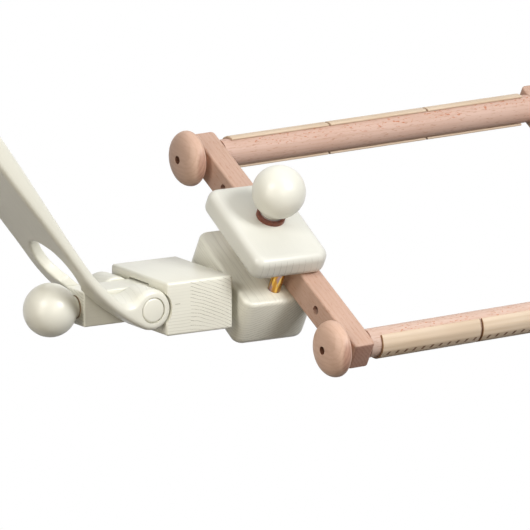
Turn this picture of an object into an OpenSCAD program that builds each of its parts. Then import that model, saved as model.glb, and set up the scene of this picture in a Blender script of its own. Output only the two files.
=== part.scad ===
// Embroidery floor stand with a clamped scroll frame.
// Right is +X along the rollers, the stitcher sits on the -Y side, +Z is up.
// The origin lies on the floor under the column.

/* [Floor base] */
// Length of the cross foot under the column
column_foot_len = 460; // [400:10:560]
// Width of the cross foot under the column
column_foot_w = 92; // [80:2:120]
// Length of the cross foot at the end of the rail
end_foot_len = 340; // [280:10:460]
// Width of the cross foot at the end of the rail
end_foot_w = 64; // [54:2:90]
// Height of both feet at their middle
foot_h = 42; // [36:1:56]
// Height of both feet at their tips
foot_tip_h = 26; // [20:1:32]
// Height of the arches under the feet
foot_arch = 8; // [4:1:12]
// Length of each pad that meets the floor
foot_pad = 62; // [50:2:70]
// Length of the rail between the feet
rail_len = 520; // [440:10:640]
// Width of the rail
rail_w = 70; // [60:2:84]
// Height of the rail
rail_h = 30; // [26:1:32]
// Gap between the rail and the floor
rail_lift = 6; // [3:1:8]
// Rounding of the feet and the rail
base_round = 4; // [2:0.5:6]

/* [Column] */
// Outer width of the square column
column_w = 70; // [66:1:84]
// Wall of the column
column_wall = 12; // [10:0.5:14]
// Height of the column above its foot
column_h = 440; // [380:10:500]
// Thickness of the closed bottom of the column
column_floor = 45; // [40:1:60]
// How far the post reaches into the column
post_engaged = 290; // [220:10:340]
// Height of the turned disc on top of the post
post_cap_h = 16; // [12:1:20]
// Diameter of the turned disc on top of the post
post_cap_d = 84; // [76:2:96]
// Diameter of the pivot pin between post and shoulder
swivel_pin_d = 16; // [12:1:18]
// Length of the pivot pin inside the post and its cap
swivel_pin_reach = 70; // [60:2:90]
// Height of the column knob below the column top
column_knob_drop = 45; // [40:1:70]
// Height of the swivel knob below the top of the post
swivel_knob_drop = 48; // [45:1:54]

/* [Arm] */
// Height of the head's hinge pin above the floor
pivot_h = 620; // [560:5:680]
// Slope of the arm above level
arm_pitch = 54; // [48:1:60]
// Width of the arm across its bosses
arm_w = 106; // [98:1:120]
// Half the length of the arm along its straight stretch
arm_half_len = 250; // [220:5:290]
// Thickness of the arm beside its eyes
arm_t = 11; // [9:0.5:13]
// Thickness of the arm at its middle
arm_mid_t = 20; // [16:0.5:24]
// Distance from a hinge pin to the far face of the straight stretch
arm_under = 39.1; // [37:0.2:44]
// Radius of the sweep from the straight stretch into a boss
arm_bend_r = 200; // [180:5:230]
// Rounding of the arm's long edges
arm_edge_r = 4; // [3:0.2:5]
// Diameter of the hinge bosses
boss_d = 40; // [38:0.5:44]
// Fillet on top of a boss at its outer face
saddle_out_r = 10; // [8:1:14]
// Fillet on top of a boss at its inner face
saddle_in_r = 30; // [20:1:34]
// Width of the slot between the bosses
slot_w = 36.8; // [36:0.2:40]
// Radius of the round eye that lets the ball knob pass
eye_r = 32; // [30:0.5:34]
// Place of the eye along the arm, counted from its hinge pin
eye_t = 79; // [76:0.5:82]
// Lean of the eye towards its hinge pin
eye_lean = -4; // [-6:0.5:0]

/* [Hinge sets] */
// Diameter of the wooden hinge pins
pin_d = 25; // [22:0.5:27]
// Width and height of the hinge blocks
tongue_w = 34; // [32:0.5:35]
// Reach of a hinge block from the pin towards its ball knob
tongue_out = 55.6; // [54:0.2:60]
// Reach of a hinge block from the pin into the grooved block
tongue_in = 24; // [23:0.2:26]
// Distance from the pin to the near face of the grooved block
block_gap = 14.5; // [13.5:0.1:16]
// Length of the grooved blocks
block_len = 73; // [68:1:84]
// Depth of the grooved blocks, front to back
block_d = 107; // [106:1:112]
// Height of the grooved blocks
block_h = 52; // [50:1:58]
// Distance of the swivel block's middle below its hinge pin
block_drop = 1; // [0:0.5:2]
// Diameter of the bolts that carry the ball knobs
bolt_d = 10; // [8:1:10]
// Diameter of the turned ball knobs
ball_d = 52; // [46:1:54]
// Diameter of the neck of a ball knob
neck_d = 22; // [20:0.5:26]
// Distance from the middle of a ball to the seat of its neck
neck_seat = 26.5; // [26.5:0.1:28]
// Outer diameter of the threaded inserts
insert_d = 14; // [13:0.5:15]
// Length of the threaded inserts
insert_len = 24; // [20:1:26]
// Thickness of the plain washers
plain_washer_t = 1; // [0.8:0.1:1.4]

/* [Jaws] */
// Tilt of the jaws and the scroll frame towards the stitcher
head_tilt = 30; // [15:1:45]
// Distance from the hinge pin to the bolt that closes the jaws
clamp_x = 135.5; // [133:0.5:142]
// Distance from the hinge pin to the left face of the lower jaw
lower_jaw_x = 95.2; // [94:0.1:96]
// Length of the lower jaw
lower_jaw_l = 79.8; // [76:1:84]
// Depth of the lower jaw, front to back
lower_jaw_d = 111.6; // [108:1:120]
// Height of the lower jaw
lower_jaw_h = 54.6; // [46:0.2:54]
// Height of the lower jaw's face above the bolt that it turns on
lower_jaw_top = 31.3; // [30:0.1:34]
// Rounding of the lower jaw
lower_jaw_r = 8; // [6:0.5:10]
// Length of the upper jaw
upper_jaw_l = 82.8; // [78:0.5:86]
// Depth of the upper jaw, front to back
upper_jaw_d = 114.4; // [106:1:118]
// Thickness of the upper jaw
upper_jaw_t = 25; // [24:0.5:28]
// Distance of the jaws' middle from the clamp bolt, towards the stitcher
jaw_shift = 4.8; // [0:0.1:6]
// Thickness of the leather washer that the jaws turn on
tilt_washer_t = 3; // [1:0.5:5]
// Overhang of the upper jaw towards the grooved block
upper_jaw_lip = 5; // [0:0.5:6]
// Rounding of the upper jaw's corners, seen from above
upper_jaw_corner = 12.5; // [10:0.5:16]
// Rounding of the upper jaw's long edges
upper_jaw_r = 8.5; // [6:0.5:10]
// Diameter of the guide pins
guide_d = 12.5; // [11:0.1:13]
// Distance from the clamp bolt to the front guide pin
guide_y = 41.6; // [38:0.2:44]
// Distance from the clamp bolt to the back guide pin
guide_back_y = 34; // [30:0.5:36]
// Distance from the clamp bolt to the guide pins, left to right
guide_x = 1; // [0:0.5:3]
// Diameter of the leather washer
leather_d = 28.5; // [26:0.5:32]
// Thickness of the leather washer
leather_t = 4.2; // [3:0.2:5]

/* [Scroll frame] */
// Turn of the scroll frame between the jaws
frame_yaw = 2.4; // [0:0.1:3]
// Distance between the two rollers
roller_span = 288.2; // [280:0.2:310]
// Distance from the clamp bolt back to the far roller
roller_back = 138.2; // [128:0.2:150]
// Width of a side bar
bar_w = 24; // [22:0.5:28]
// Height of a side bar
bar_h = 29.6; // [28:0.2:31]
// Length of a side bar beyond the front roller
bar_end_front = 15.5; // [15:0.5:24]
// Length of a side bar beyond the back roller
bar_end_back = 19.5; // [15:0.5:24]
// Distance of the front spare hole from its roller
spare_hole_front = 54.7; // [46:0.1:60]
// Distance of the back spare hole from its roller
spare_hole_back = 49.1; // [46:0.1:60]
// Play between the guide pins and the left side bar
bar_play = 1.8; // [0.3:0.1:3]
// Height of the rollers above the middle of the side bars
roller_lift = 1; // [0:0.1:2]
// Diameter of the holes in the side bars
bar_hole_d = 8.6; // [6.8:0.1:9]
// Diameter of the rollers
roller_d = 27.6; // [26:0.1:30]
// Number of clips on a roller
clip_count = 3; // [2:1:4]
// Length of one clip
clip_len = 114; // [90:1:120]
// Gap between neighbouring clips
clip_gap = 2.2; // [1:0.2:4]
// Bare stretch of a roller beyond its clips
clip_margin = 10.5; // [8:0.1:30]
// Wall of a clip
clip_t = 2.4; // [1.2:0.1:3]
// Opening of a clip in degrees
clip_mouth = 134; // [120:1:170]
// Direction of the clip mouths on the front roller
front_clip_turn = 139; // [0:1:359]
// Direction of the clip mouths on the back roller
back_clip_turn = 247; // [0:1:359]
// Diameter of the mushroom knobs
mushroom_d = 56.4; // [46:1:58]
// Height of the mushroom knobs above the side bar
mushroom_h = 25; // [22:0.5:28]
// Diameter of the dark hole in the crown of a mushroom knob
crown_hole_d = 7.8; // [3:0.2:8]

/* [Hidden] */

// Colours as the photograph shows them
cream = [0.93, 0.92, 0.86];
beech = [0.80, 0.62, 0.52];
blond = [0.88, 0.79, 0.61];
leather = [0.42, 0.17, 0.09];
yellow_zinc = [0.78, 0.60, 0.22];
steel = [0.66, 0.66, 0.68];
brass = [0.72, 0.58, 0.30];

// Clearances that the pieces share
run_gap = 0.05;   // a shaft turning in its bore
slide_gap = 0.3;  // faces of moving pieces that lie side by side
loose_gap = 0.4;  // a bolt in a plain hole
clamp_gap = 0.2;  // the clamped bar under and over a jaw
eps = 0.01;
fine = 96;

// Arm outline, worked out in its own plane: t runs along the straight stretch, w across it
boss_r = boss_d / 2;
arm_centre_w = arm_t / 2 - arm_under;
sweep_h = arm_bend_r - arm_under;
sweep_t = sqrt(pow(arm_bend_r - boss_r, 2) - sweep_h * sweep_h);
sweep_polar = atan2(sweep_h, sweep_t);
arm_top_r = arm_bend_r - arm_t;

// Places of the two hinge pins
span_t = 2 * arm_half_len;
span_w = 2 * arm_centre_w;
span_x = span_t * cos(arm_pitch) - span_w * sin(arm_pitch);
span_z = span_t * sin(arm_pitch) + span_w * cos(arm_pitch);
shoulder_x = block_gap + block_len / 2;
shoulder_z = pivot_h + span_z;
head_x = shoulder_x + span_x;

// Hinge sets, measured from their own pin
block_mid_x = block_gap + block_len / 2;
groove_r = boss_r + slide_gap;
recess_w = tongue_w + 3;
recess_x = tongue_in + 2.5;
ball_x = tongue_out + plain_washer_t + neck_seat;
knob_bore_depth = insert_len + 6;
bolt_r = bolt_d / 2;
insert_r = insert_d / 2;
washer_r = neck_d / 2 + 0.3;

// Base and column
column_base_z = foot_h;
column_top_z = foot_h + column_h;
column_bore_w = column_w - 2 * column_wall;
post_w = column_bore_w - 2 * slide_gap;
swivel_washer_t = 3;
cap_top_z = shoulder_z - block_h / 2 - swivel_washer_t;
post_top_z = cap_top_z - post_cap_h;
post_bottom_z = column_top_z - post_engaged;
swivel_pin_in = 14;
swivel_pin_r = swivel_pin_d / 2;
rail_x0 = column_foot_w / 2;
rail_x1 = rail_x0 + rail_len;
rail_mid_z = rail_lift + rail_h / 2;
column_knob_z = column_top_z - column_knob_drop;
swivel_knob_z = cap_top_z - swivel_knob_drop;
rail_bolt_d = 8;
rail_bolt_in = 46;
barrel_in = 35;
barrel_seat = rail_h / 2 + 11;
end_foot_x = rail_x1 + end_foot_w / 2;
barrel_d = 14;
barrel_len = 22;
dowel_d = 10;
dowel_len = 40;
dowel_y = rail_w / 2 - 12;
screw_d = 7;
screw_head_d = 14;
screw_seat_z = 14;
screw_in = 26;
screw_y = 20;
short_insert_len = 11;
knob_stand_off = 2;
stud_in_ball = 24;
column_stud_reach = column_w / 2 + knob_stand_off - post_w / 2 - run_gap;
swivel_stud_reach = post_w / 2 + knob_stand_off - swivel_pin_r - run_gap;
shoulder_bolt_end = block_gap + block_len - 6;
tilt_face_x = block_gap + block_len + tilt_washer_t;
tilt_bolt_end = lower_jaw_x + 22;

// Jaws, measured from the head's hinge pin, before the tilt
bar_mid_z = lower_jaw_top + clamp_gap + bar_h / 2;
upper_jaw_z = bar_mid_z + bar_h / 2 + clamp_gap;
upper_jaw_x = lower_jaw_x - upper_jaw_lip;
clamp_seat_z = upper_jaw_z + upper_jaw_t;
clamp_washer_t = 0.8;
clamp_ball_z = clamp_seat_z + leather_t + clamp_washer_t + neck_seat;
clamp_bolt_top = clamp_ball_z - neck_seat + insert_len;
bolt_head_r = 9;
bolt_head_h = 6.4;
guide_r = guide_d / 2;
guide_foot = 39;
guide_in_jaw = 16;
guide_hole_depth = 18.5;

// Scroll frame, measured from the clamp bolt at the middle height of the bars
guide_in_yaw_x = guide_y * sin(frame_yaw) - guide_x * cos(frame_yaw);
bar_x = guide_in_yaw_x + guide_r + bar_play;
frame_inner = 2 * clip_margin + clip_count * clip_len + (clip_count - 1) * clip_gap;
right_bar_x = bar_x + bar_w + frame_inner;
front_y = roller_back - roller_span;
back_y = roller_back;
bar_len = roller_span + bar_end_front + bar_end_back;
bar_mid_y = (front_y - bar_end_front + back_y + bar_end_back) / 2;
roller_r = roller_d / 2;
stud_d = bar_hole_d - 0.2;
stud_in_roller = 30;
stud_in_knob = 14;
mushroom_r = mushroom_d / 2;
mushroom_seat_r = mushroom_r - 5.5;
mushroom_rim_z = 8;

// Places

module at_head() {
    translate([head_x, 0, pivot_h])
        children();
}

module at_shoulder() {
    translate([shoulder_x, 0, shoulder_z])
        rotate([0, 180, 0])
            children();
}

module at_jaws() {
    at_head()
        rotate([head_tilt, 0, 0])
            children();
}

module at_frame() {
    at_jaws()
        translate([clamp_x, 0, bar_mid_z])
            rotate([0, 0, frame_yaw])
                children();
}

module at_roller(y) {
    at_frame()
        translate([bar_x + bar_w, y, roller_lift])
            rotate([0, 90, 0])
                children();
}

// Shared forms

module rounded_rect(w, h, r) {
    square([w - 2 * r, h], center = true);
    square([w, h - 2 * r], center = true);
    for (x = [-1, 1], y = [-1, 1])
        translate([x * (w / 2 - r), y * (h / 2 - r)])
            circle(r, $fn = fine);
}

// A block with its upright edges rounded by rz, the edges along X by rx and along Y by ry
module soft_block(size, rz, rx, ry) {
    intersection() {
        linear_extrude(size[2], center = true)
            rounded_rect(size[0], size[1], rz);
        rotate([90, 0, 90])
            linear_extrude(size[0], center = true)
                rounded_rect(size[1], size[2], rx);
        rotate([90, 0, 0])
            linear_extrude(size[1], center = true)
                rounded_rect(size[0], size[2], ry);
    }
}

module along_x(r, x0, x1) {
    translate([x0, 0, 0])
        rotate([0, 90, 0])
            cylinder(h = x1 - x0, r = r, $fn = fine);
}

module along_y(r, y0, y1) {
    translate([0, y0, 0])
        rotate([-90, 0, 0])
            cylinder(h = y1 - y0, r = r, $fn = fine);
}

module ring(r_out, r_in, h) {
    difference() {
        cylinder(h = h, r = r_out, $fn = fine);
        translate([0, 0, -1])
            cylinder(h = h + 2, r = r_in, $fn = fine);
    }
}

// A rod with both ends chamfered, standing on z = 0
module chamfered_rod(r, h, c) {
    rotate_extrude($fn = fine)
        polygon([[0, 0], [r - c, 0], [r, c], [r, h - c], [r - c, h], [0, h]]);
}

// A turned ball knob that points along +Z, with the seat of its neck at z = 0
module ball_knob(bore_r, bore_depth) {
    color(cream)
        difference() {
            union() {
                translate([0, 0, neck_seat])
                    sphere(r = ball_d / 2, $fn = fine);
                cylinder(h = neck_seat, r = neck_d / 2, $fn = fine);
            }
            translate([0, 0, -1])
                cylinder(h = bore_depth + 1, r = bore_r, $fn = fine);
        }
}

module threaded_insert(r_in) {
    color(brass)
        ring(insert_r, r_in, insert_len);
}

// Floor base

// Side view of a foot: level in the middle, falling away to the tips, arched between its pads
module foot_profile(len, crown) {
    tip_y = len / 2;
    arch_len = (len - 3 * foot_pad) / 2;
    arch_mid = (foot_pad + arch_len) / 2;
    arch_r = (arch_len * arch_len / 4 + foot_arch * foot_arch) / (2 * foot_arch);
    steps = 10;
    right = [
        for (i = [0:steps])
            let (u = i / steps)
            [crown + (tip_y - crown) * u, foot_tip_h + (foot_h - foot_tip_h) * (1 + cos(180 * u)) / 2]
    ];
    left = [for (i = [steps:-1:0]) [-right[i][0], right[i][1]]];
    difference() {
        polygon(concat([[-tip_y, 0], [tip_y, 0]], [for (i = [steps:-1:0]) right[i]],
            [for (i = [steps:-1:0]) left[i]]));
        for (s = [-1, 1])
            translate([s * arch_mid, foot_arch - arch_r])
                circle(arch_r, $fn = 180);
    }
}

module foot_body(len, w, crown) {
    intersection() {
        rotate([90, 0, 90])
            linear_extrude(w, center = true)
                foot_profile(len, crown);
        translate([0, 0, -1])
            linear_extrude(foot_h + 2)
                rounded_rect(w, len, 3 * base_round);
    }
}

module column_foot() {
    color(cream)
        difference() {
            foot_body(column_foot_len, column_foot_w, column_w / 2 + 6);
            translate([-column_foot_w / 2 - 1, 0, rail_mid_z])
                along_x(11, 0, 31);
            translate([0, 0, rail_mid_z])
                along_x(rail_bolt_d / 2 + loose_gap, -column_foot_w, column_foot_w);
            for (s = [-1, 1])
                translate([column_foot_w / 2, s * dowel_y, rail_mid_z])
                    along_x(dowel_d / 2 + run_gap, -dowel_len / 2, 1);
            for (x = [-1, 1], y = [-1, 1])
                translate([x * screw_y, y * screw_y, 0]) {
                    translate([0, 0, -1])
                        cylinder(h = screw_seat_z + 1, r = screw_head_d / 2 + 1, $fn = fine);
                    cylinder(h = foot_h + 1, r = screw_d / 2 + loose_gap, $fn = fine);
                }
        }
}

module base_rail() {
    color(cream)
        difference() {
            translate([(rail_x0 + rail_x1) / 2, 0, rail_mid_z])
                rotate([90, 0, 90])
                    linear_extrude(rail_len, center = true)
                        rounded_rect(rail_w, rail_h, base_round);
            for (x = [rail_x0, rail_x1])
                translate([x, 0, rail_mid_z])
                    along_x(rail_bolt_d / 2 + loose_gap, -rail_bolt_in, rail_bolt_in);
            for (x = [rail_x0, rail_x1], s = [-1, 1])
                translate([x, s * dowel_y, rail_mid_z])
                    along_x(dowel_d / 2 + run_gap, -dowel_len / 2, dowel_len / 2);
            for (x = [rail_x0 + barrel_in, rail_x1 - barrel_in])
                translate([x, 0, rail_lift - 1])
                    cylinder(h = barrel_seat + 1, r = barrel_d / 2 + run_gap, $fn = fine);
        }
}

module end_foot() {
    color(cream)
        translate([end_foot_x, 0, 0])
            difference() {
                foot_body(end_foot_len, end_foot_w, rail_w / 2 + 6);
                translate([end_foot_w / 2 - 20, 0, rail_mid_z])
                    along_x(11, 0, 21);
                translate([0, 0, rail_mid_z])
                    along_x(rail_bolt_d / 2 + loose_gap, -end_foot_w, end_foot_w);
                for (s = [-1, 1])
                    translate([-end_foot_w / 2, s * dowel_y, rail_mid_z])
                        along_x(dowel_d / 2 + run_gap, -1, dowel_len / 2);
            }
}

module rail_bolt(shank) {
    along_x(8, -7.5, 0);
    along_x(rail_bolt_d / 2, -eps, shank);
}

module rail_bolts() {
    color(steel) {
        translate([-column_foot_w / 2 + 30, 0, rail_mid_z])
            rail_bolt(column_foot_w - 30 + rail_bolt_in - 2);
        translate([rail_x1 + end_foot_w - 20, 0, rail_mid_z])
            rotate([0, 0, 180])
                rail_bolt(end_foot_w - 20 + rail_bolt_in - 2);
    }
}

module barrel_nuts() {
    color(steel)
        for (x = [rail_x0 + barrel_in, rail_x1 - barrel_in])
            translate([x, 0, rail_mid_z - barrel_len / 2])
                difference() {
                    cylinder(h = barrel_len, r = barrel_d / 2, $fn = fine);
                    translate([0, 0, barrel_len / 2])
                        along_x(rail_bolt_d / 2 + run_gap, -barrel_d, barrel_d);
                }
}

module rail_dowels() {
    color(blond)
        for (x = [rail_x0, rail_x1], s = [-1, 1])
            translate([x - dowel_len / 2 + 0.5, s * dowel_y, rail_mid_z])
                rotate([0, 90, 0])
                    chamfered_rod(dowel_d / 2, dowel_len - 1, 1);
}

module outer_column() {
    color(cream)
        difference() {
            translate([0, 0, column_base_z])
                linear_extrude(column_h)
                    rounded_rect(column_w, column_w, 4);
            translate([0, 0, column_base_z + column_floor])
                linear_extrude(column_h)
                    rounded_rect(column_bore_w, column_bore_w, 3 + slide_gap);
            for (x = [-1, 1], y = [-1, 1])
                translate([x * screw_y, y * screw_y, column_base_z - 1])
                    cylinder(h = screw_in + 1, r = screw_d / 2 + run_gap, $fn = fine);
            translate([0, 0, column_knob_z])
                along_y(insert_r + run_gap, -column_w, -column_bore_w / 2 + 1);
        }
}

module column_screws() {
    color(steel)
        for (x = [-1, 1], y = [-1, 1])
            translate([x * screw_y, y * screw_y, 0]) {
                translate([0, 0, screw_seat_z - 5])
                    cylinder(h = 5, r = screw_head_d / 2, $fn = fine);
                translate([0, 0, screw_seat_z - eps])
                    cylinder(h = column_base_z + screw_in - 2 - screw_seat_z, r = screw_d / 2, $fn = fine);
            }
}

module column_insert() {
    color(brass)
        translate([0, -column_bore_w / 2 - 0.5, column_knob_z])
            rotate([90, 0, 0])
                ring(insert_r, bolt_r + run_gap, short_insert_len);
}

module at_column_knob() {
    translate([0, -column_w / 2 - knob_stand_off, column_knob_z])
        rotate([90, 0, 0])
            children();
}

module at_swivel_knob() {
    translate([0, -post_w / 2 - knob_stand_off, swivel_knob_z])
        rotate([90, 0, 0])
            children();
}

module column_ball_knob() {
    at_column_knob()
        ball_knob(bolt_r + run_gap, stud_in_ball + 0.5);
}

module column_stud() {
    color(steel)
        at_column_knob()
            translate([0, 0, -column_stud_reach])
                chamfered_rod(bolt_r, column_stud_reach + stud_in_ball, 0.8);
}

module inner_post() {
    color(cream)
        difference() {
            translate([0, 0, post_bottom_z])
                linear_extrude(post_top_z - post_bottom_z)
                    rounded_rect(post_w, post_w, 3);
            translate([0, 0, cap_top_z - swivel_pin_reach - 2])
                cylinder(h = swivel_pin_reach, r = swivel_pin_r + run_gap, $fn = fine);
            translate([0, 0, swivel_knob_z])
                along_y(insert_r + run_gap, -post_w, -swivel_pin_r - 1.5);
            translate([0, 0, swivel_knob_z])
                along_y(bolt_r + loose_gap, -post_w, -1);
        }
}

module post_cap() {
    color(cream)
        translate([0, 0, post_top_z])
            rotate_extrude($fn = 128)
                difference() {
                    union() {
                        square([post_cap_d / 2 - 5, post_cap_h]);
                        translate([0, 3])
                            square([post_cap_d / 2, post_cap_h - 8]);
                        translate([post_cap_d / 2 - 5, post_cap_h - 5])
                            circle(5, $fn = 48);
                        translate([post_cap_d / 2 - 3, 3])
                            circle(3, $fn = 48);
                        square([post_cap_d / 2 - 3, 4]);
                    }
                    translate([-1, -1])
                        square([swivel_pin_r + run_gap + 1, post_cap_h + 2]);
                }
}

module swivel_insert() {
    color(brass)
        translate([0, -post_w / 2 + short_insert_len, swivel_knob_z])
            rotate([90, 0, 0])
                ring(insert_r, bolt_r + run_gap, short_insert_len);
}

module swivel_ball_knob() {
    at_swivel_knob()
        ball_knob(bolt_r + run_gap, stud_in_ball + 0.5);
}

module swivel_stud() {
    color(steel)
        at_swivel_knob()
            translate([0, 0, -swivel_stud_reach])
                chamfered_rod(bolt_r, swivel_stud_reach + stud_in_ball, 0.8);
}

// Hinge sets, each drawn about its own pin with the grooved block on its +X side

module grooved_block(drop) {
    difference() {
        translate([block_mid_x, 0, -drop])
            soft_block([block_len, block_d, block_h], 2.5, 2.5, 2.5);
        along_y(groove_r, -block_d, block_d);
        translate([block_gap - 1, -recess_w / 2, -recess_w / 2])
            cube([recess_x - block_gap + 1, recess_w, recess_w]);
    }
}

module tongue() {
    color(cream)
        difference() {
            translate([(tongue_in - tongue_out) / 2, 0, 0])
                soft_block([tongue_in + tongue_out, tongue_w, tongue_w], 1.5, 1.5, 1.5);
            along_y(pin_d / 2 + run_gap, -tongue_w, tongue_w);
            along_x(bolt_r + loose_gap, -tongue_out - 1, tongue_in + 1);
        }
}

module cross_pin() {
    color(cream)
        difference() {
            translate([0, -arm_w / 2, 0])
                rotate([-90, 0, 0])
                    difference() {
                        chamfered_rod(pin_d / 2, arm_w, 1.2);
                        for (z = [-1, arm_w - 0.8])
                            translate([0, 0, z])
                                ring(8.6, 7.8, 1.8);
                    }
            along_x(bolt_r + loose_gap, -pin_d, pin_d);
        }
}

module swivel_block() {
    color(cream)
        at_head()
            difference() {
                grooved_block(block_drop);
                along_x(bolt_r + run_gap, 0, block_gap + block_len + 1);
            }
}

module hinge_block() {
    at_head()
        tongue();
}

module hinge_pin() {
    at_head()
        cross_pin();
}

module knob_washer() {
    color(steel)
        translate([-tongue_out - plain_washer_t, 0, 0])
            rotate([0, 90, 0])
                ring(washer_r, bolt_r + loose_gap, plain_washer_t);
}

module hinge_washer() {
    at_head()
        knob_washer();
}

module at_tongue_end() {
    translate([-tongue_out - plain_washer_t, 0, 0])
        rotate([0, -90, 0])
            children();
}

module hinge_ball_knob() {
    at_head()
        at_tongue_end()
            ball_knob(insert_r + run_gap, knob_bore_depth);
}

module hinge_knob_insert() {
    at_head()
        at_tongue_end()
            translate([0, 0, 2])
                threaded_insert(bolt_r + run_gap);
}

module shoulder_block() {
    color(cream)
        difference() {
            at_shoulder()
                difference() {
                    grooved_block(0);
                    along_x(bolt_r + loose_gap, 0, shoulder_bolt_end + 2);
                    along_x(insert_r + run_gap, shoulder_bolt_end - insert_len, shoulder_bolt_end + 2);
                }
            translate([0, 0, cap_top_z])
                cylinder(h = swivel_washer_t + swivel_pin_in + 0.5, r = swivel_pin_r + run_gap, $fn = fine);
        }
}

module swivel_pin() {
    color(steel)
        translate([0, 0, cap_top_z - swivel_pin_reach])
            chamfered_rod(swivel_pin_r, swivel_pin_reach + swivel_washer_t + swivel_pin_in, 1);
}

module swivel_washer() {
    color(leather)
        translate([0, 0, cap_top_z])
            ring(22, swivel_pin_r + run_gap, swivel_washer_t);
}

module shoulder_hinge_block() {
    at_shoulder()
        tongue();
}

module shoulder_pin() {
    at_shoulder()
        cross_pin();
}

module shoulder_bolt() {
    color(steel)
        at_shoulder()
            translate([-tongue_out - plain_washer_t - insert_len, 0, 0])
                rotate([0, 90, 0])
                    chamfered_rod(bolt_r, tongue_out + plain_washer_t + insert_len + shoulder_bolt_end, 0.8);
}

module shoulder_insert() {
    at_shoulder()
        translate([shoulder_bolt_end - insert_len, 0, 0])
            rotate([0, 90, 0])
                threaded_insert(bolt_r + run_gap);
}

module shoulder_washer() {
    at_shoulder()
        knob_washer();
}

module shoulder_ball_knob() {
    at_shoulder()
        at_tongue_end()
            ball_knob(insert_r + run_gap, knob_bore_depth);
}

module shoulder_knob_insert() {
    at_shoulder()
        at_tongue_end()
            translate([0, 0, 2])
                threaded_insert(bolt_r + run_gap);
}

// Arm

function smooth(u) = u * u * (3 - 2 * u);

function strip_half(t) =
    arm_t / 2 + (arm_mid_t - arm_t) / 2 * smooth(max(0, (t - sweep_t) / (arm_half_len - sweep_t)));

function on_circle(c, r, a) = [c[0] + r * cos(a), c[1] + r * sin(a)];

// Angle at which the fillet of radius f touches the boss, seen from the hinge pin
function fillet_polar(f) =
    let (p = boss_r + f, q = arm_top_r - f, e = arm_bend_r - boss_r)
    sweep_polar - acos((p * p + e * e - q * q) / (2 * p * e));

// Half of the outline, from the middle of the far face round the boss to the middle of the near face,
// with every face drawn in by d and with fillets of radius f
function half_outline(d, f) =
    let (
        centre = [sweep_t, sweep_h],
        touch = fillet_polar(f),
        fc = on_circle([0, 0], boss_r + f, touch),
        meet = atan2(fc[1] - sweep_h, fc[0] - sweep_t) + 360
    )
    concat(
        [for (i = [0:5])
            let (t = arm_half_len + (sweep_t - arm_half_len) * i / 6)
            [t, arm_centre_w - strip_half(t) + d]],
        [for (i = [0:7])
            on_circle(centre, arm_bend_r - d, 270 - (90 - sweep_polar) * i / 8)],
        [for (i = [0:19])
            on_circle([0, 0], boss_r - d, 180 + sweep_polar - (180 + sweep_polar - touch) * i / 20)],
        [for (i = [0:7])
            on_circle(fc, f + d, touch + 180 + (meet - touch - 180) * i / 7)],
        [for (i = [1:6])
            on_circle(centre, arm_top_r + d, meet + (270 - meet) * i / 6)],
        [for (i = [1:5])
            let (t = sweep_t + (arm_half_len - sweep_t) * i / 6)
            [t, arm_centre_w + strip_half(t) - d]]
    );

function full_outline(d, f) =
    let (h = half_outline(d, f))
    concat(h, [for (p = h) [span_t - p[0], span_w - p[1]]]);

function edge_inset(depth) =
    depth >= arm_edge_r ? 0 : arm_edge_r - sqrt(arm_edge_r * arm_edge_r - pow(arm_edge_r - depth, 2));

function fillet_at(depth) =
    saddle_out_r + (saddle_in_r - saddle_out_r) * min(1, depth / (arm_w / 2 - slot_w / 2));

// Triangles that fill the outline, as a ladder between its two long sides: i and j count the steps
// from the boss at the head along either side, and the shorter rung is laid each time
function rungs(p, i, j, start) =
    let (
        n = len(p),
        at = start + i,
        back = start - j + n,
        a = p[at % n],
        b = p[back % n],
        next_a = p[(at + 1) % n],
        next_b = p[(back - 1) % n]
    )
    i + j >= n - 1 ? [] :
    norm(next_a - b) < norm(next_b - a)
        ? concat([[at % n, (at + 1) % n, back % n]], rungs(p, i + 1, j, start))
        : concat([[at % n, (back - 1) % n, back % n]], rungs(p, i, j + 1, start));

module arm_body() {
    inner = [0, 0.15 * arm_edge_r, 0.5 * arm_edge_r, arm_edge_r, 17, 37];
    ys = concat([for (q = inner) q - arm_w / 2], [for (i = [5:-1:0]) arm_w / 2 - inner[i]]);
    rings = [for (y = ys)
        let (q = arm_w / 2 - abs(y))
        full_outline(edge_inset(q), fillet_at(q))];
    n = len(rings[0]);
    m = len(ys);
    points = [for (j = [0:m - 1], p = rings[j])
        [p[1] * sin(arm_pitch) - p[0] * cos(arm_pitch), ys[j], p[0] * sin(arm_pitch) + p[1] * cos(arm_pitch)]];
    sides = [for (j = [0:m - 2], i = [0:n - 1])
        let (k = (i + 1) % n)
        [j * n + i, j * n + k, (j + 1) * n + k, (j + 1) * n + i]];
    ladder = rungs(rings[0], 1, 0, 24);
    front = [for (q = ladder) [q[2], q[1], q[0]]];
    back = [for (q = ladder) [(m - 1) * n + q[0], (m - 1) * n + q[1], (m - 1) * n + q[2]]];
    polyhedron(points, concat(front, back, sides), convexity = 6);
}

// Pin bore, slot and round eye at one end of the arm
module arm_cut() {
    along_y(pin_d / 2 + run_gap, -arm_w, arm_w);
    multmatrix([
        [-cos(arm_pitch), 0, sin(arm_pitch), 0],
        [0, 1, 0, 0],
        [sin(arm_pitch), 0, cos(arm_pitch), 0],
        [0, 0, 0, 1]
    ]) {
        translate([-40, -slot_w / 2, -75])
            cube([eye_t + 40, slot_w, 130]);
        translate([eye_t, 0, arm_centre_w])
            rotate([0, eye_lean, 0])
                cylinder(h = 90, r = eye_r, center = true, $fn = 128);
    }
}

module arm() {
    color(cream)
        difference() {
            at_head()
                arm_body();
            at_head()
                arm_cut();
            at_shoulder()
                arm_cut();
        }
}

// Jaws

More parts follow.
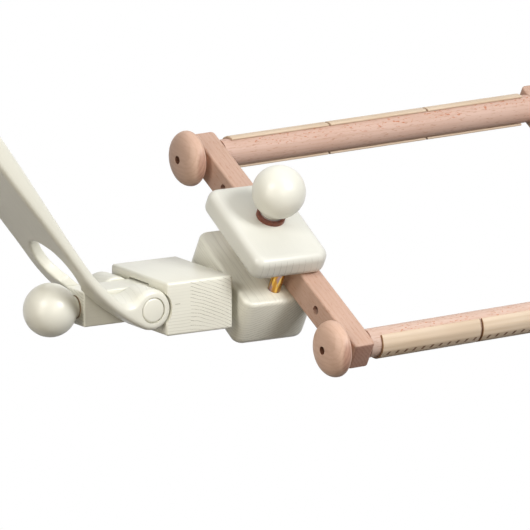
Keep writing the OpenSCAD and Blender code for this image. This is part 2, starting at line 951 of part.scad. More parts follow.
module lower_jaw() {
    color(cream)
        at_jaws()
            difference() {
                union() {
                    translate([lower_jaw_x + lower_jaw_l / 2, -jaw_shift, lower_jaw_top - lower_jaw_h / 2])
                        soft_block([lower_jaw_l, lower_jaw_d, lower_jaw_h], 6.5, lower_jaw_r, 6);
                    along_x(22, tilt_face_x + eps, lower_jaw_x + 1);
                }
                along_x(bolt_r + loose_gap, tilt_face_x - 1, tilt_bolt_end + 2);
                along_x(insert_r + run_gap, tilt_face_x - 1, lower_jaw_x + insert_len + 1);
                for (y = [-guide_y, guide_back_y])
                    translate([clamp_x - guide_x, y, lower_jaw_top - guide_foot]) {
                        cylinder(h = guide_foot + 1, r = guide_r + run_gap, $fn = fine);
                        translate([0, 0, guide_foot - 1])
                            cylinder(h = 1 + eps, r1 = guide_r + run_gap, r2 = guide_r + 1, $fn = fine);
                    }
                translate([clamp_x, 0, lower_jaw_top - lower_jaw_h - 1]) {
                    cylinder(h = lower_jaw_h + 2, r = bolt_r + run_gap, $fn = fine);
                    cylinder(h = bolt_head_h + 2.5, r = bolt_head_r + 0.5, $fn = fine);
                }
            }
}

module tilt_washer() {
    color(leather)
        at_jaws()
            translate([block_gap + block_len + eps, 0, 0])
                rotate([0, 90, 0])
                    ring(22, bolt_r + loose_gap, tilt_washer_t - eps);
}

module tilt_bolt() {
    color(steel)
        at_head()
            translate([-tongue_out - plain_washer_t - insert_len, 0, 0])
                rotate([0, 90, 0])
                    chamfered_rod(bolt_r, tongue_out + plain_washer_t + insert_len + tilt_bolt_end, 0.8);
}

module tilt_insert() {
    at_jaws()
        translate([lower_jaw_x + 0.5, 0, 0])
            rotate([0, 90, 0])
                threaded_insert(bolt_r + run_gap);
}

module guide_pins() {
    color(yellow_zinc)
        at_jaws()
            for (y = [-guide_y, guide_back_y])
                translate([clamp_x - guide_x, y, lower_jaw_top - guide_foot])
                    chamfered_rod(guide_r, guide_foot + upper_jaw_z - lower_jaw_top + guide_in_jaw, 0.8);
}

module clamp_bolt() {
    color(steel)
        at_jaws()
            translate([clamp_x, 0, lower_jaw_top - lower_jaw_h]) {
                translate([0, 0, 1.5])
                    cylinder(h = bolt_head_h, r = bolt_head_r, $fn = 6);
                translate([0, 0, 1.5 + bolt_head_h - eps])
                    chamfered_rod(bolt_r, clamp_bolt_top - lower_jaw_top + lower_jaw_h - 1.5 - bolt_head_h, 0.8);
            }
}

module upper_jaw() {
    color(cream)
        at_jaws()
            difference() {
                translate([upper_jaw_x + upper_jaw_l / 2, -jaw_shift, upper_jaw_z + upper_jaw_t / 2])
                    soft_block([upper_jaw_l, upper_jaw_d, upper_jaw_t], upper_jaw_corner, upper_jaw_r, upper_jaw_r);
                translate([clamp_x, 0, upper_jaw_z - 1])
                    cylinder(h = upper_jaw_t + 2, r = bolt_r + loose_gap, $fn = fine);
                for (y = [-guide_y, guide_back_y])
                    translate([clamp_x - guide_x, y, upper_jaw_z - 1])
                        cylinder(h = guide_hole_depth + 1, r = guide_r + 0.1, $fn = fine);
            }
}

module leather_washer() {
    color(leather)
        at_jaws()
            translate([clamp_x, 0, clamp_seat_z])
                ring(leather_d / 2, bolt_r + loose_gap, leather_t);
}

module clamp_washer() {
    color(steel)
        at_jaws()
            translate([clamp_x, 0, clamp_seat_z + leather_t])
                ring(washer_r, bolt_r + loose_gap, clamp_washer_t);
}

module at_clamp_seat() {
    at_jaws()
        translate([clamp_x, 0, clamp_seat_z + leather_t + clamp_washer_t])
            children();
}

module clamp_ball_knob() {
    at_clamp_seat()
        ball_knob(insert_r + run_gap, knob_bore_depth);
}

module clamp_knob_insert() {
    at_clamp_seat()
        translate([0, 0, 2])
            threaded_insert(bolt_r + run_gap);
}

// Scroll frame

module side_bar(x0) {
    color(beech)
        at_frame()
            translate([x0, 0, 0])
                difference() {
                    translate([bar_w / 2, bar_mid_y, 0])
                        soft_block([bar_w, bar_len, bar_h], 2, 2, 2);
                    for (y = [front_y, front_y + spare_hole_front, back_y - spare_hole_back, back_y])
                        translate([0, y, roller_lift])
                            along_x(bar_hole_d / 2, -1, bar_w + 1);
                }
}

module left_side_bar() {
    side_bar(bar_x);
}

module right_side_bar() {
    side_bar(right_bar_x);
}

module roller() {
    color(beech)
        translate([0, 0, slide_gap])
            difference() {
                cylinder(h = frame_inner - 2 * slide_gap, r = roller_r, $fn = 128);
                for (z = [-1, frame_inner - 2 * slide_gap - stud_in_roller])
                    translate([0, 0, z])
                        cylinder(h = stud_in_roller + 1, r = stud_d / 2 + run_gap, $fn = fine);
            }
}

module clip() {
    inner = roller_r + run_gap;
    outer = inner + clip_t;
    mid = inner + clip_t / 2;
    half = 180 - clip_mouth / 2;
    linear_extrude(clip_len) {
        difference() {
            circle(outer, $fn = 144);
            circle(inner, $fn = 144);
            polygon(concat([[0, 0]], [
                for (i = [0:8])
                    let (a = 180 - clip_mouth / 2 + clip_mouth * i / 8)
                    [2 * outer * cos(a), 2 * outer * sin(a)]
            ]));
        }
        for (s = [-1, 1])
            translate([mid * cos(half), s * mid * sin(half)])
                circle(clip_t / 2, $fn = 24);
    }
}

module roller_clips(turn) {
    color(blond)
        rotate([0, 0, turn + 180])
            for (i = [0:clip_count - 1])
                translate([0, 0, clip_margin + i * (clip_len + clip_gap)])
                    clip();
}

module roller_studs() {
    color(steel) {
        translate([0, 0, -bar_w - slide_gap - stud_in_knob])
            chamfered_rod(stud_d / 2, bar_w + slide_gap + stud_in_knob + stud_in_roller, 0.6);
        translate([0, 0, frame_inner - stud_in_roller])
            chamfered_rod(stud_d / 2, bar_w + slide_gap + stud_in_knob + stud_in_roller, 0.6);
    }
}

// A turned mushroom knob that points along +Z, with its flat face at z = 0
module mushroom_knob() {
    color(beech)
        difference() {
            rotate_extrude($fn = 144)
                polygon(concat(
                    [[0, 0], [mushroom_seat_r, 0]],
                    [for (i = [1:9])
                        let (a = 90 * i / 10)
                        [mushroom_seat_r + (mushroom_r - mushroom_seat_r) * sin(a), mushroom_rim_z * (1 - cos(a))]],
                    [for (i = [0:24])
                        let (a = 90 * i / 24, z = mushroom_h - mushroom_rim_z)
                        [mushroom_r * pow(cos(a), 0.7), mushroom_rim_z + z * pow(sin(a), 0.95)]],
                    [[0, mushroom_h]]
                ));
            translate([0, 0, -1])
                cylinder(h = stud_in_knob + 1.5, r = stud_d / 2 + run_gap, $fn = fine);
            cylinder(h = mushroom_h + 1, r = crown_hole_d / 2, $fn = 48);
        }
}

module left_mushroom(y) {
    at_roller(y)
        translate([0, 0, -bar_w - slide_gap])
            rotate([0, 180, 0])
                mushroom_knob();
}

module right_mushroom(y) {
    at_roller(y)
        translate([0, 0, frame_inner + bar_w + slide_gap])
            mushroom_knob();
}

module front_roller() {
    at_roller(front_y)
        roller();
}

module front_roller_clips() {
    at_roller(front_y)
        roller_clips(front_clip_turn);
}

module front_roller_studs() {
    at_roller(front_y)
        roller_studs();
}

module back_roller() {
    at_roller(back_y)
        roller();
}

module back_roller_clips() {
    at_roller(back_y)
        roller_clips(back_clip_turn);
}

module back_roller_studs() {
    at_roller(back_y)
        roller_studs();
}

module front_left_knob() {
    left_mushroom(front_y);
}

module front_right_knob() {
    right_mushroom(front_y);
}

module back_left_knob() {
    left_mushroom(back_y);
}

module back_right_knob() {
    right_mushroom(back_y);
}

column_foot();
base_rail();
end_foot();
rail_bolts();
barrel_nuts();
rail_dowels();
outer_column();
column_screws();
column_insert();
column_ball_knob();
column_stud();
inner_post();
post_cap();
swivel_insert();
swivel_ball_knob();
swivel_stud();
shoulder_block();
swivel_pin();
swivel_washer();
shoulder_hinge_block();
shoulder_pin();
shoulder_bolt();
shoulder_insert();
shoulder_washer();
shoulder_ball_knob();
shoulder_knob_insert();
arm();
swivel_block();
hinge_block();
hinge_pin();
hinge_washer();
hinge_ball_knob();
hinge_knob_insert();
lower_jaw();
tilt_washer();
tilt_bolt();
tilt_insert();
guide_pins();
clamp_bolt();
upper_jaw();
leather_washer();
clamp_washer();
clamp_ball_knob();
clamp_knob_insert();
left_side_bar();
right_side_bar();
front_roller();
front_roller_clips();
front_roller_studs();
back_roller();
back_roller_clips();
back_roller_studs();
front_left_knob();
front_right_knob();
back_left_knob();
back_right_knob();
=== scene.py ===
import math

import bmesh
import bpy
import numpy as np
from mathutils import Matrix, Vector


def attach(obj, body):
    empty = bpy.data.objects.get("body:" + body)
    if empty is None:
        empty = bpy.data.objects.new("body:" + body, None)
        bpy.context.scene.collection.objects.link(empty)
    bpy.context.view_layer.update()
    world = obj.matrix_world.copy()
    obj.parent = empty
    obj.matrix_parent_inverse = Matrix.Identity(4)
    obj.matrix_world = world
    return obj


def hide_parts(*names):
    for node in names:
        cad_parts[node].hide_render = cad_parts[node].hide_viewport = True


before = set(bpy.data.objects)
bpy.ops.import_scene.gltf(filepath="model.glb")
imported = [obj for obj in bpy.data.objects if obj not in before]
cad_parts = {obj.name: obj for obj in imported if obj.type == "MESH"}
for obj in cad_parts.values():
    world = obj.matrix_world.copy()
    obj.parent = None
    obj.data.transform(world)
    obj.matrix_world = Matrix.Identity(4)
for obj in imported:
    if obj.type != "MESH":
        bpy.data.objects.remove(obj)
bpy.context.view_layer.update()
print("frame loaded")

# Everything below is worked out in millimetres and goes into Blender in metres.
mm = 0.001


# Turns about the three axes: the usual cosine and sine matrices.
def rotX(deg):
    c, s = math.cos(math.radians(deg)), math.sin(math.radians(deg))
    return np.array([[1, 0, 0], [0, c, -s], [0, s, c]], float)


def rotY(deg):
    c, s = math.cos(math.radians(deg)), math.sin(math.radians(deg))
    return np.array([[c, 0, s], [0, 1, 0], [-s, 0, c]], float)


def rotZ(deg):
    c, s = math.cos(math.radians(deg)), math.sin(math.radians(deg))
    return np.array([[c, -s, 0], [s, c, 0], [0, 0, 1]], float)


# Sizes in mm, one dictionary for each piece. Those of the arm, the blocks, the jaws and the frame are
# the same as in the part's source; the places of the pieces follow from them.
arm = {"pitch": 54.0, "width": 106.0, "thin": 11.0, "middle": 20.0, "half": 250.0, "under": 39.1, "bend": 200.0,
       "boss": 20.0, "slot": 36.8, "eye": 32.0, "eyePlace": 79.0, "eyeLean": -4.0, "pivot": 620.0,
       "edge": 5.0, "voxel": 1.2, "soften": 18}
block = {"gap": 14.5, "length": 73.0, "depth": 107.0, "height": 52.0, "drop": 1.0, "edge": 2.8}
tongue = {"width": 34.0, "out": 55.6, "in": 24.0}
pin = {"radius": 12.5}
clamp = {"x": 135.5, "tilt": 30.0}
lowerJaw = {"left": 95.2, "length": 79.8, "depth": 111.6, "height": 54.6, "top": 31.3, "shift": 4.8,
            "corner": 12.0, "edge": 4.5, "under": 10.5}
upperJaw = {"left": 90.2, "length": 82.8, "depth": 114.4, "thick": 25.0, "corner": 12.5, "edge": 8.5}
bar = {"width": 24.0, "height": 29.6, "hole": 4.3, "front": 15.5, "back": 19.5,
       "spareFront": 54.7, "spareBack": 49.1, "yaw": 2.4, "play": 1.8, "corner": 4.2, "edge": 2.4}
guide = {"radius": 6.25, "front": 41.6, "back": 34.0, "inset": 1.0}
roller = {"span": 288.2, "lift": 1.0, "back": 138.2, "radius": 13.8, "end": 0.12, "rim": 0.35}
clip = {"wall": 2.4, "length": 114.0, "gap": 2.2, "margin": 10.5, "count": 3,
        "mouth": {"front": 134.0, "back": 142.0}, "turn": {"front": 139.0, "back": 243.0}}

centreW = arm["thin"] / 2 - arm["under"]
sweepH = arm["bend"] - arm["under"]
sweepT = math.sqrt((arm["bend"] - arm["boss"]) ** 2 - sweepH ** 2)
sweepPolar = math.degrees(math.atan2(sweepH, sweepT))
cosP, sinP = math.cos(math.radians(arm["pitch"])), math.sin(math.radians(arm["pitch"]))
spanX = 2 * arm["half"] * cosP - 2 * centreW * sinP
spanZ = 2 * arm["half"] * sinP + 2 * centreW * cosP
shoulderX = block["gap"] + block["length"] / 2
head = np.array([shoulderX + spanX, 0.0, arm["pivot"]])
shoulder = np.array([shoulderX, 0.0, arm["pivot"] + spanZ])

# A place is a turn and an origin: row point = turn @ local + origin.
atHead = (np.eye(3), head)
atShoulder = (rotY(180), shoulder)
atJaws = (rotX(clamp["tilt"]), head)
barMid = lowerJaw["top"] + 0.2 + bar["height"] / 2
atFrame = (rotX(clamp["tilt"]) @ rotZ(bar["yaw"]), head + rotX(clamp["tilt"]) @ np.array([clamp["x"], 0, barMid]))
guideX = guide["front"] * math.sin(math.radians(bar["yaw"])) - guide["inset"] * math.cos(math.radians(bar["yaw"]))
barX = guideX + guide["radius"] + bar["play"]
frameInner = 2 * clip["margin"] + clip["count"] * clip["length"] + (clip["count"] - 1) * clip["gap"]
rightBarX = barX + bar["width"] + frameInner
frontY = roller["back"] - roller["span"]
backY = roller["back"]


def inside(place, origin, turn=None):
    # A place within a place: its turn comes after, and its origin is turned along.
    t, o = place
    return (t if turn is None else t @ turn, o + t @ np.asarray(origin, float))


def atRoller(y):
    # A roller's axis, from the inner face of the left bar.
    return inside(atFrame, [barX + bar["width"], y, roller["lift"]], rotY(90))


# Camera: the pose that fits the photograph best, in the row frame.
camAz, camEl = -31.14, 11.81
ca, sa = math.cos(math.radians(camAz)), math.sin(math.radians(camAz))
ce, se = math.cos(math.radians(camEl)), math.sin(math.radians(camEl))
camBack = np.array([sa * ce, -ca * ce, se])
camRight = np.array([ca, sa, 0.0])
camUp = np.cross(camBack, camRight)
camPlace = head + np.array([-3388.3, -5865.6, 1450.9])
camData = bpy.data.cameras.new("camera")
camData.lens = 491.8
camData.sensor_width = 36.0
camData.clip_start = 0.1
camData.clip_end = 60.0
camera = bpy.data.objects.new("camera", camData)
bpy.context.scene.collection.objects.link(camera)
camMatrix = Matrix.Identity(4)
for i in range(3):
    camMatrix[i][0], camMatrix[i][1], camMatrix[i][2] = camRight[i], camUp[i], camBack[i]
    camMatrix[i][3] = camPlace[i] * mm
camera.matrix_world = camMatrix
bpy.context.scene.camera = camera
print("camera set")


# Node helpers


def euler(turn):
    return Matrix([list(map(float, r)) for r in turn]).to_euler("XYZ")


class Net:
    def __init__(self, name):
        self.material = bpy.data.materials.new(name)
        self.material.use_nodes = True
        self.tree = self.material.node_tree
        self.tree.nodes.clear()
        self.out = self.add("ShaderNodeOutputMaterial")
        self.shader = self.add("ShaderNodeBsdfPrincipled")
        self.link(self.shader.outputs[0], self.out.inputs[0])

    def add(self, kind, **values):
        n = self.tree.nodes.new(kind)
        for k, v in values.items():
            setattr(n, k, v)
        return n

    def link(self, a, b):
        self.tree.links.new(a, b)

    def put(self, socket, value):
        if isinstance(value, bpy.types.NodeSocket):
            self.link(value, socket)
        else:
            socket.default_value = value

    def math(self, op, a, b=0.0, c=0.0, clamp=False):
        n = self.add("ShaderNodeMath", operation=op, use_clamp=clamp)
        for s, v in zip(n.inputs, (a, b, c)):
            self.put(s, v)
        return n.outputs[0]

    def ramp(self, value, low, high, outLow=0.0, outHigh=1.0):
        n = self.add("ShaderNodeMapRange", interpolation_type="SMOOTHSTEP")
        for s, v in zip(n.inputs, (value, low, high, outLow, outHigh)):
            self.put(s, v)
        return n.outputs[0]

    def mix(self, factor, a, b, blend="MIX"):
        n = self.add("ShaderNodeMix", data_type="RGBA", blend_type=blend)
        self.put(n.inputs[0], factor)
        self.put(n.inputs[6], a)
        self.put(n.inputs[7], b)
        return n.outputs[2]

    def noise(self, vector, scale, detail=2.0, rough=0.5):
        n = self.add("ShaderNodeTexNoise")
        self.link(vector, n.inputs["Vector"])
        n.inputs["Scale"].default_value = scale
        n.inputs["Detail"].default_value = detail
        n.inputs["Roughness"].default_value = rough
        return n.outputs[0]

    def local(self, place):
        turn, origin = place
        tc = self.add("ShaderNodeTexCoord")
        m = self.add("ShaderNodeMapping", vector_type="TEXTURE")
        self.link(tc.outputs["Object"], m.inputs["Vector"])
        m.inputs["Location"].default_value = [float(x) * mm for x in origin]
        m.inputs["Rotation"].default_value = euler(turn)
        return m.outputs[0]

    def split(self, vector):
        n = self.add("ShaderNodeSeparateXYZ")
        self.link(vector, n.inputs[0])
        return n.outputs

    def join(self, x, y, z):
        n = self.add("ShaderNodeCombineXYZ")
        for s, v in zip(n.inputs, (x, y, z)):
            self.put(s, v)
        return n.outputs[0]

    def bump(self, height, distance, strength=1.0):
        n = self.add("ShaderNodeBump")
        n.inputs["Strength"].default_value = strength
        n.inputs["Distance"].default_value = distance
        self.link(height, n.inputs["Height"])
        self.link(n.outputs[0], self.shader.inputs["Normal"])


def rgba(r, g, b):
    return (r, g, b, 1.0)


def addMap(net, coords, ringCentre, spacing, warp, lean=0.0):
    # Ring phase: distance from the pith, warped by slow noise, counted in ring widths;
    # with a lean the pith moves aside as the height over its level grows.
    x, y, z = net.split(coords)
    slow = net.noise(net.join(x, y, net.math("MULTIPLY", z, 0.15)), 22.0, 2.0)
    quick = net.noise(net.join(x, y, net.math("MULTIPLY", z, 0.15)), 130.0, 1.0)
    dx = net.math("SUBTRACT", x, ringCentre[0] * mm)
    dy = net.math("SUBTRACT", y, ringCentre[1] * mm)
    if lean:
        dx = net.math("SUBTRACT", dx, net.math("MULTIPLY", net.math("ADD", dy, 40 * mm), lean))
    r = net.math("SQRT", net.math("ADD", net.math("MULTIPLY", dx, dx), net.math("MULTIPLY", dy, dy)))
    r = net.math("ADD", r, net.math("MULTIPLY", net.math("SUBTRACT", slow, 0.5), warp * mm))
    r = net.math("ADD", r, net.math("MULTIPLY", net.math("SUBTRACT", quick, 0.5), 1.6 * mm))
    return net.math("FRACT", net.math("DIVIDE", r, spacing * mm)), (x, y, z)


def endShare(net, place, low=0.72, high=0.94):
    # How far a face looks along the fibre: the face normal's share along the place's Z.
    dot = net.add("ShaderNodeVectorMath", operation="DOT_PRODUCT")
    net.link(net.add("ShaderNodeTexCoord").outputs["Normal"], dot.inputs[0])
    dot.inputs[1].default_value = [float(c) for c in place[0][:, 2]]
    return net.ramp(net.math("ABSOLUTE", dot.outputs["Value"]), low, high)


def lacquer(name, place, ringCentre=(0, -90), spacing=4.4, warp=8, strength=0.6, tint=(0.76, 0.745, 0.65),
            side=0.15, width=0.8, lean=0.0, joint=None):
    # Cream lacquer over ash: on end grain each ring is a thin broken dark line, on the other faces
    # only faint strokes run along the fibre. Left of a glued joint the rings lie flat and fainter.
    net = Net(name)
    coords = net.local(place)
    phase, (x, y, z) = addMap(net, coords, ringCentre, spacing, warp, lean)
    ends = endShare(net, place)
    grip = net.noise(coords, 30.0, 2.0)
    half = 0.5 * width / spacing
    offLine = net.math("ABSOLUTE", net.math("SUBTRACT", phase, 0.5))
    line = net.ramp(offLine, half + 0.045, half - 0.035)
    pores = net.noise(net.join(x, y, net.math("MULTIPLY", z, 0.045)), 850.0, 1.0)
    line = net.math("MULTIPLY", line, net.ramp(pores, 0.36, 0.60, 0.40, 1.0))
    line = net.math("MULTIPLY", line, net.ramp(grip, 0.34, 0.56, 0.45, 1.0))
    if joint is not None:
        right = net.ramp(x, (joint - 0.15) * mm, (joint + 0.15) * mm)
        flat = net.math("ADD", y, net.math("MULTIPLY", net.noise(coords, 60.0, 1.0), 1.4 * mm))
        flat = net.math("FRACT", net.math("DIVIDE", flat, 3.1 * mm))
        flat = net.ramp(net.math("ABSOLUTE", net.math("SUBTRACT", flat, 0.5)), 0.20, 0.05)
        flat = net.math("MULTIPLY", flat, net.ramp(y, -6 * mm, 14 * mm, 0.06, 0.26))
        # One short dark stroke stands alone left of the joint.
        dash = net.ramp(net.math("ABSOLUTE", net.math("SUBTRACT", x, 26.2 * mm)), 3.2 * mm, 2.2 * mm)
        thick = net.ramp(net.math("ABSOLUTE", net.math("ADD", y, 3.5 * mm)), 0.5 * mm, 0.2 * mm)
        dash = net.math("MULTIPLY", dash, thick)
        flat = net.math("MAXIMUM", flat, net.math("MULTIPLY", dash, 0.9))
        line = net.math("ADD", net.math("MULTIPLY", line, right),
                        net.math("MULTIPLY", flat, net.math("SUBTRACT", 1.0, right)))
    strokes = net.math("MULTIPLY", net.ramp(pores, 0.50, 0.64), net.ramp(phase, 0.30, 0.62))
    strokes = net.math("MULTIPLY", net.math("ADD", strokes, line), side)
    mask = net.math("ADD", net.math("MULTIPLY", line, ends),
                    net.math("MULTIPLY", strokes, net.math("SUBTRACT", 1.0, ends)), clamp=True)
    broad = net.noise(coords, 9.0, 3.0)
    paint = net.mix(net.ramp(broad, 0.3, 0.7), rgba(*[c * 0.985 for c in tint]), rgba(*tint))
    dark = rgba(tint[0] * 0.34, tint[1] * 0.31, tint[2] * 0.27)
    net.link(net.mix(net.math("MULTIPLY", mask, strength), paint, dark), net.shader.inputs["Base Color"])
    fine = net.noise(net.join(x, y, net.math("MULTIPLY", z, 0.1)), 500.0, 2.0)
    # Faint grain is shallow grain.
    groove = net.math("MULTIPLY", mask, min(1.0, 1.5 * strength))
    net.bump(net.math("SUBTRACT", net.math("MULTIPLY", fine, 0.08), groove), 0.00012, 0.5)
    net.link(net.ramp(fine, 0.2, 0.8, 0.33, 0.42), net.shader.inputs["Roughness"])
    net.shader.inputs["Coat Weight"].default_value = 0.25
    net.shader.inputs["Coat Roughness"].default_value = 0.22
    net.shader.inputs["Specular IOR Level"].default_value = 0.45
    return net.material


def turnedLacquer(name, tint=(0.77, 0.755, 0.665)):
    # Smooth lacquered ball: almost no pores, a very fine orange peel.
    net = Net(name)
    tc = net.add("ShaderNodeTexCoord")
    coords = tc.outputs["Object"]
    broad = net.noise(coords, 24.0, 3.0)
    net.link(net.mix(net.ramp(broad, 0.3, 0.7), rgba(*[c * 0.985 for c in tint]), rgba(*tint)),
             net.shader.inputs["Base Color"])
    peel = net.noise(coords, 420.0, 2.0)
    net.bump(peel, 0.00002, 0.15)
    net.link(net.ramp(peel, 0.2, 0.8, 0.36, 0.40), net.shader.inputs["Roughness"])
    net.shader.inputs["Coat Weight"].default_value = 0.4
    net.shader.inputs["Coat Roughness"].default_value = 0.27
    return net.material


def beechWood(name, place, ringCentre=(60, 80), spacing=2.8, tint=(0.60, 0.385, 0.285), deep=(0.42, 0.22, 0.14),
              fleck=0.7, polish=0.5, endDark=0.66, spots=0.0, shadedHoleAt=None):
    # Pinkish beech: fine short rays along the grain, faint rings, slow colour drift, darker end grain;
    # where a knob is drilled, the wall of its hole gets painted shade.
    net = Net(name)
    coords = net.local(place)
    phase, (x, y, z) = addMap(net, coords, ringCentre, spacing, 9)
    ring = net.math("MULTIPLY", net.ramp(phase, 0.55, 1.0), 0.26)
    rays = net.noise(net.join(x, y, net.math("MULTIPLY", z, 0.16)), 820.0, 1.0)
    dash = net.ramp(rays, 0.60, 0.70)
    streak = net.noise(net.join(x, y, net.math("MULTIPLY", z, 0.03)), 330.0, 3.0)
    amount = net.math("ADD", ring, net.math("MULTIPLY", dash, fleck))
    amount = net.math("ADD", amount, net.math("MULTIPLY", net.ramp(streak, 0.35, 0.75), 0.28), clamp=True)
    drift = net.ramp(net.noise(coords, 12.0, 2.0), 0.3, 0.7)
    paint = net.mix(drift, rgba(*tint), rgba(tint[0] * 1.05, tint[1] * 1.09, tint[2] * 1.12))
    paint = net.mix(net.math("MULTIPLY", amount, 0.62), paint, rgba(*deep))
    if spots:
        # Short red-brown flecks a mm or two long, mostly in one band along the roller:
        # the band is where the point's direction from the axis is close to 190 degrees.
        spot = net.noise(net.join(x, y, net.math("MULTIPLY", z, 0.45)), 520.0, 1.0)
        a, r = math.radians(190), roller["radius"] * mm
        near = net.math("ADD", net.math("MULTIPLY", x, math.cos(a) / r), net.math("MULTIPLY", y, math.sin(a) / r))
        where = net.ramp(net.noise(net.join(x, y, net.math("MULTIPLY", z, 0.5)), 60.0, 1.0), 0.38, 0.60)
        where = net.math("MULTIPLY", where, net.ramp(near, 0.78, 0.95, 0.10, 1.0))
        spot = net.math("MULTIPLY", net.ramp(spot, 0.60, 0.66), where)
        paint = net.mix(net.math("MULTIPLY", spot, spots), paint, rgba(0.46, 0.15, 0.065))
    thirsty = net.mix(net.ramp(phase, 0.25, 0.85), rgba(endDark * 1.07, endDark * 0.93, endDark * 0.90),
                      rgba(endDark * 0.96, endDark * 0.82, endDark * 0.80))
    paint = net.mix(endShare(net, place), paint, net.mix(1.0, paint, thirsty, "MULTIPLY"))
    # Painted shade: the wall of the knob's blind hole is darkened to stand for the shade deep inside it.
    if shadedHoleAt:
        hx, hy, hz = net.split(net.local(shadedHoleAt))
        off = net.math("SQRT", net.math("ADD", net.math("MULTIPLY", hx, hx), net.math("MULTIPLY", hy, hy)))
        wall = net.math("MULTIPLY", net.ramp(off, 4.08 * mm, 3.98 * mm), net.ramp(hz, 13 * mm, 14 * mm))
        paint = net.mix(wall, paint, rgba(0.19, 0.085, 0.05))
    net.link(paint, net.shader.inputs["Base Color"])
    net.bump(net.math("SUBTRACT", net.math("MULTIPLY", streak, 0.5), dash), 0.00006, 0.6)
    net.link(net.ramp(streak, 0.2, 0.8, polish, polish + 0.1), net.shader.inputs["Roughness"])
    net.shader.inputs["Specular IOR Level"].default_value = 0.35
    return net.material


def clipWood(name, place, seamShade):
    # Pale clip wood: UV holds mm along the clip and the share of the arc; ticks are brown, and the ends are
    # darkened brown as painted shade of the seams between clips.
    net = Net(name)
    coords = net.local(place)
    x, y, z = net.split(coords)
    uv = net.add("ShaderNodeUVMap", uv_map="clipStrip")
    along, arc, _ = net.split(uv.outputs[0])
    along = net.math("MULTIPLY", along, 1000.0)
    streak = net.noise(net.join(x, y, net.math("MULTIPLY", z, 0.03)), 420.0, 3.0)
    drift = net.ramp(net.noise(coords, 14.0, 2.0), 0.3, 0.7)
    paint = net.mix(drift, rgba(0.64, 0.50, 0.365), rgba(0.675, 0.545, 0.415))
    paint = net.mix(net.math("MULTIPLY", net.ramp(streak, 0.4, 0.75), 0.30), paint, rgba(0.52, 0.36, 0.21))
    # A tick is a slightly slanted stroke every 10 mm that covers a short stretch of the arc.
    slant = net.math("ADD", along, net.math("MULTIPLY", net.math("SUBTRACT", arc, 0.315), 26.0))
    cell = net.math("FRACT", net.math("DIVIDE", net.math("ADD", slant, 6.8), 10.0))
    stroke = net.ramp(net.math("ABSOLUTE", net.math("SUBTRACT", cell, 0.5)), 0.18, 0.11)
    band = net.math("MULTIPLY", net.ramp(arc, 0.276, 0.288), net.ramp(arc, 0.358, 0.346))
    room = net.math("MULTIPLY", net.ramp(along, 3.0, 4.0), net.ramp(along, 111.5, 110.5))
    tick = net.math("MULTIPLY", net.math("MULTIPLY", stroke, band), room)
    paint = net.mix(net.math("MULTIPLY", tick, 0.95), paint, rgba(0.125, 0.048, 0.014))
    # Painted shade: the clip ends are darkened brown where the seams between clips lie in shade.
    ends = net.math("MAXIMUM", net.ramp(along, 0.9, 0.2), net.ramp(along, 113.1, 113.8))
    paint = net.mix(net.math("MULTIPLY", ends, seamShade), paint, rgba(0.26, 0.13, 0.055))
    net.link(paint, net.shader.inputs["Base Color"])
    net.bump(net.math("SUBTRACT", net.math("MULTIPLY", streak, 0.3), tick), 0.00012, 0.7)
    net.link(net.ramp(streak, 0.2, 0.8, 0.48, 0.58), net.shader.inputs["Roughness"])
    net.shader.inputs["Specular IOR Level"].default_value = 0.35
    return net.material


def hide(name):
    # Red-brown washer leather with a fine pebble and a slow colour drift.
    net = Net(name)
    tc = net.add("ShaderNodeTexCoord")
    pebble = net.add("ShaderNodeTexVoronoi")
    net.link(tc.outputs["Object"], pebble.inputs["Vector"])
    pebble.inputs["Scale"].default_value = 1500.0
    drift = net.noise(tc.outputs["Object"], 260.0, 3.0)
    net.link(net.mix(net.ramp(drift, 0.3, 0.7), rgba(0.115, 0.028, 0.013), rgba(0.19, 0.050, 0.024)),
             net.shader.inputs["Base Color"])
    net.bump(pebble.outputs[0], 0.00008, 0.7)
    net.link(net.ramp(drift, 0.2, 0.8, 0.42, 0.56), net.shader.inputs["Roughness"])
    return net.material


def metal(name, low, high, roughness, scale=90.0, place=None):
    # Plated steel: slow colour drift and fine drawing marks along local Z.
    net = Net(name)
    coords = net.local(place) if place else net.add("ShaderNodeTexCoord").outputs["Object"]
    x, y, z = net.split(coords)
    drift = net.noise(coords, scale, 3.0, 0.6)
    net.link(net.mix(net.ramp(drift, 0.35, 0.65), rgba(*low), rgba(*high)), net.shader.inputs["Base Color"])
    marks = net.noise(net.join(x, y, net.math("MULTIPLY", z, 0.05)), 1500.0, 2.0)
    net.bump(marks, 0.00002, 0.5)
    net.link(net.ramp(marks, 0.2, 0.8, roughness, roughness + 0.12), net.shader.inputs["Roughness"])
    net.shader.inputs["Metallic"].default_value = 1.0
    return net.material


def chromate(name, place):
    # Yellow zinc plating: amber with brown and purple-grey streaks along local Z.
    net = Net(name)
    x, y, z = net.split(net.local(place))
    streak = net.noise(net.join(x, y, net.math("MULTIPLY", z, 0.12)), 360.0, 2.0)
    bloom = net.noise(net.join(y, x, net.math("MULTIPLY", z, 0.25)), 230.0, 2.0)
    paint = net.mix(net.ramp(streak, 0.42, 0.58), rgba(0.86, 0.56, 0.13), rgba(0.50, 0.25, 0.05))
    paint = net.mix(net.ramp(bloom, 0.50, 0.62), paint, rgba(0.40, 0.27, 0.27))
    net.link(paint, net.shader.inputs["Base Color"])
    net.bump(streak, 0.00001, 0.3)
    net.link(net.ramp(bloom, 0.3, 0.7, 0.18, 0.27), net.shader.inputs["Roughness"])
    net.shader.inputs["Metallic"].default_value = 1.0
    return net.material


# Fibre runs along local Z in every wood material, so each place turns Z onto the grain.
alongX = rotY(90)
alongY = rotX(-90)
armTurn = np.array([[sinP, 0, -cosP], [0, 1, 0], [cosP, 0, sinP]], float)

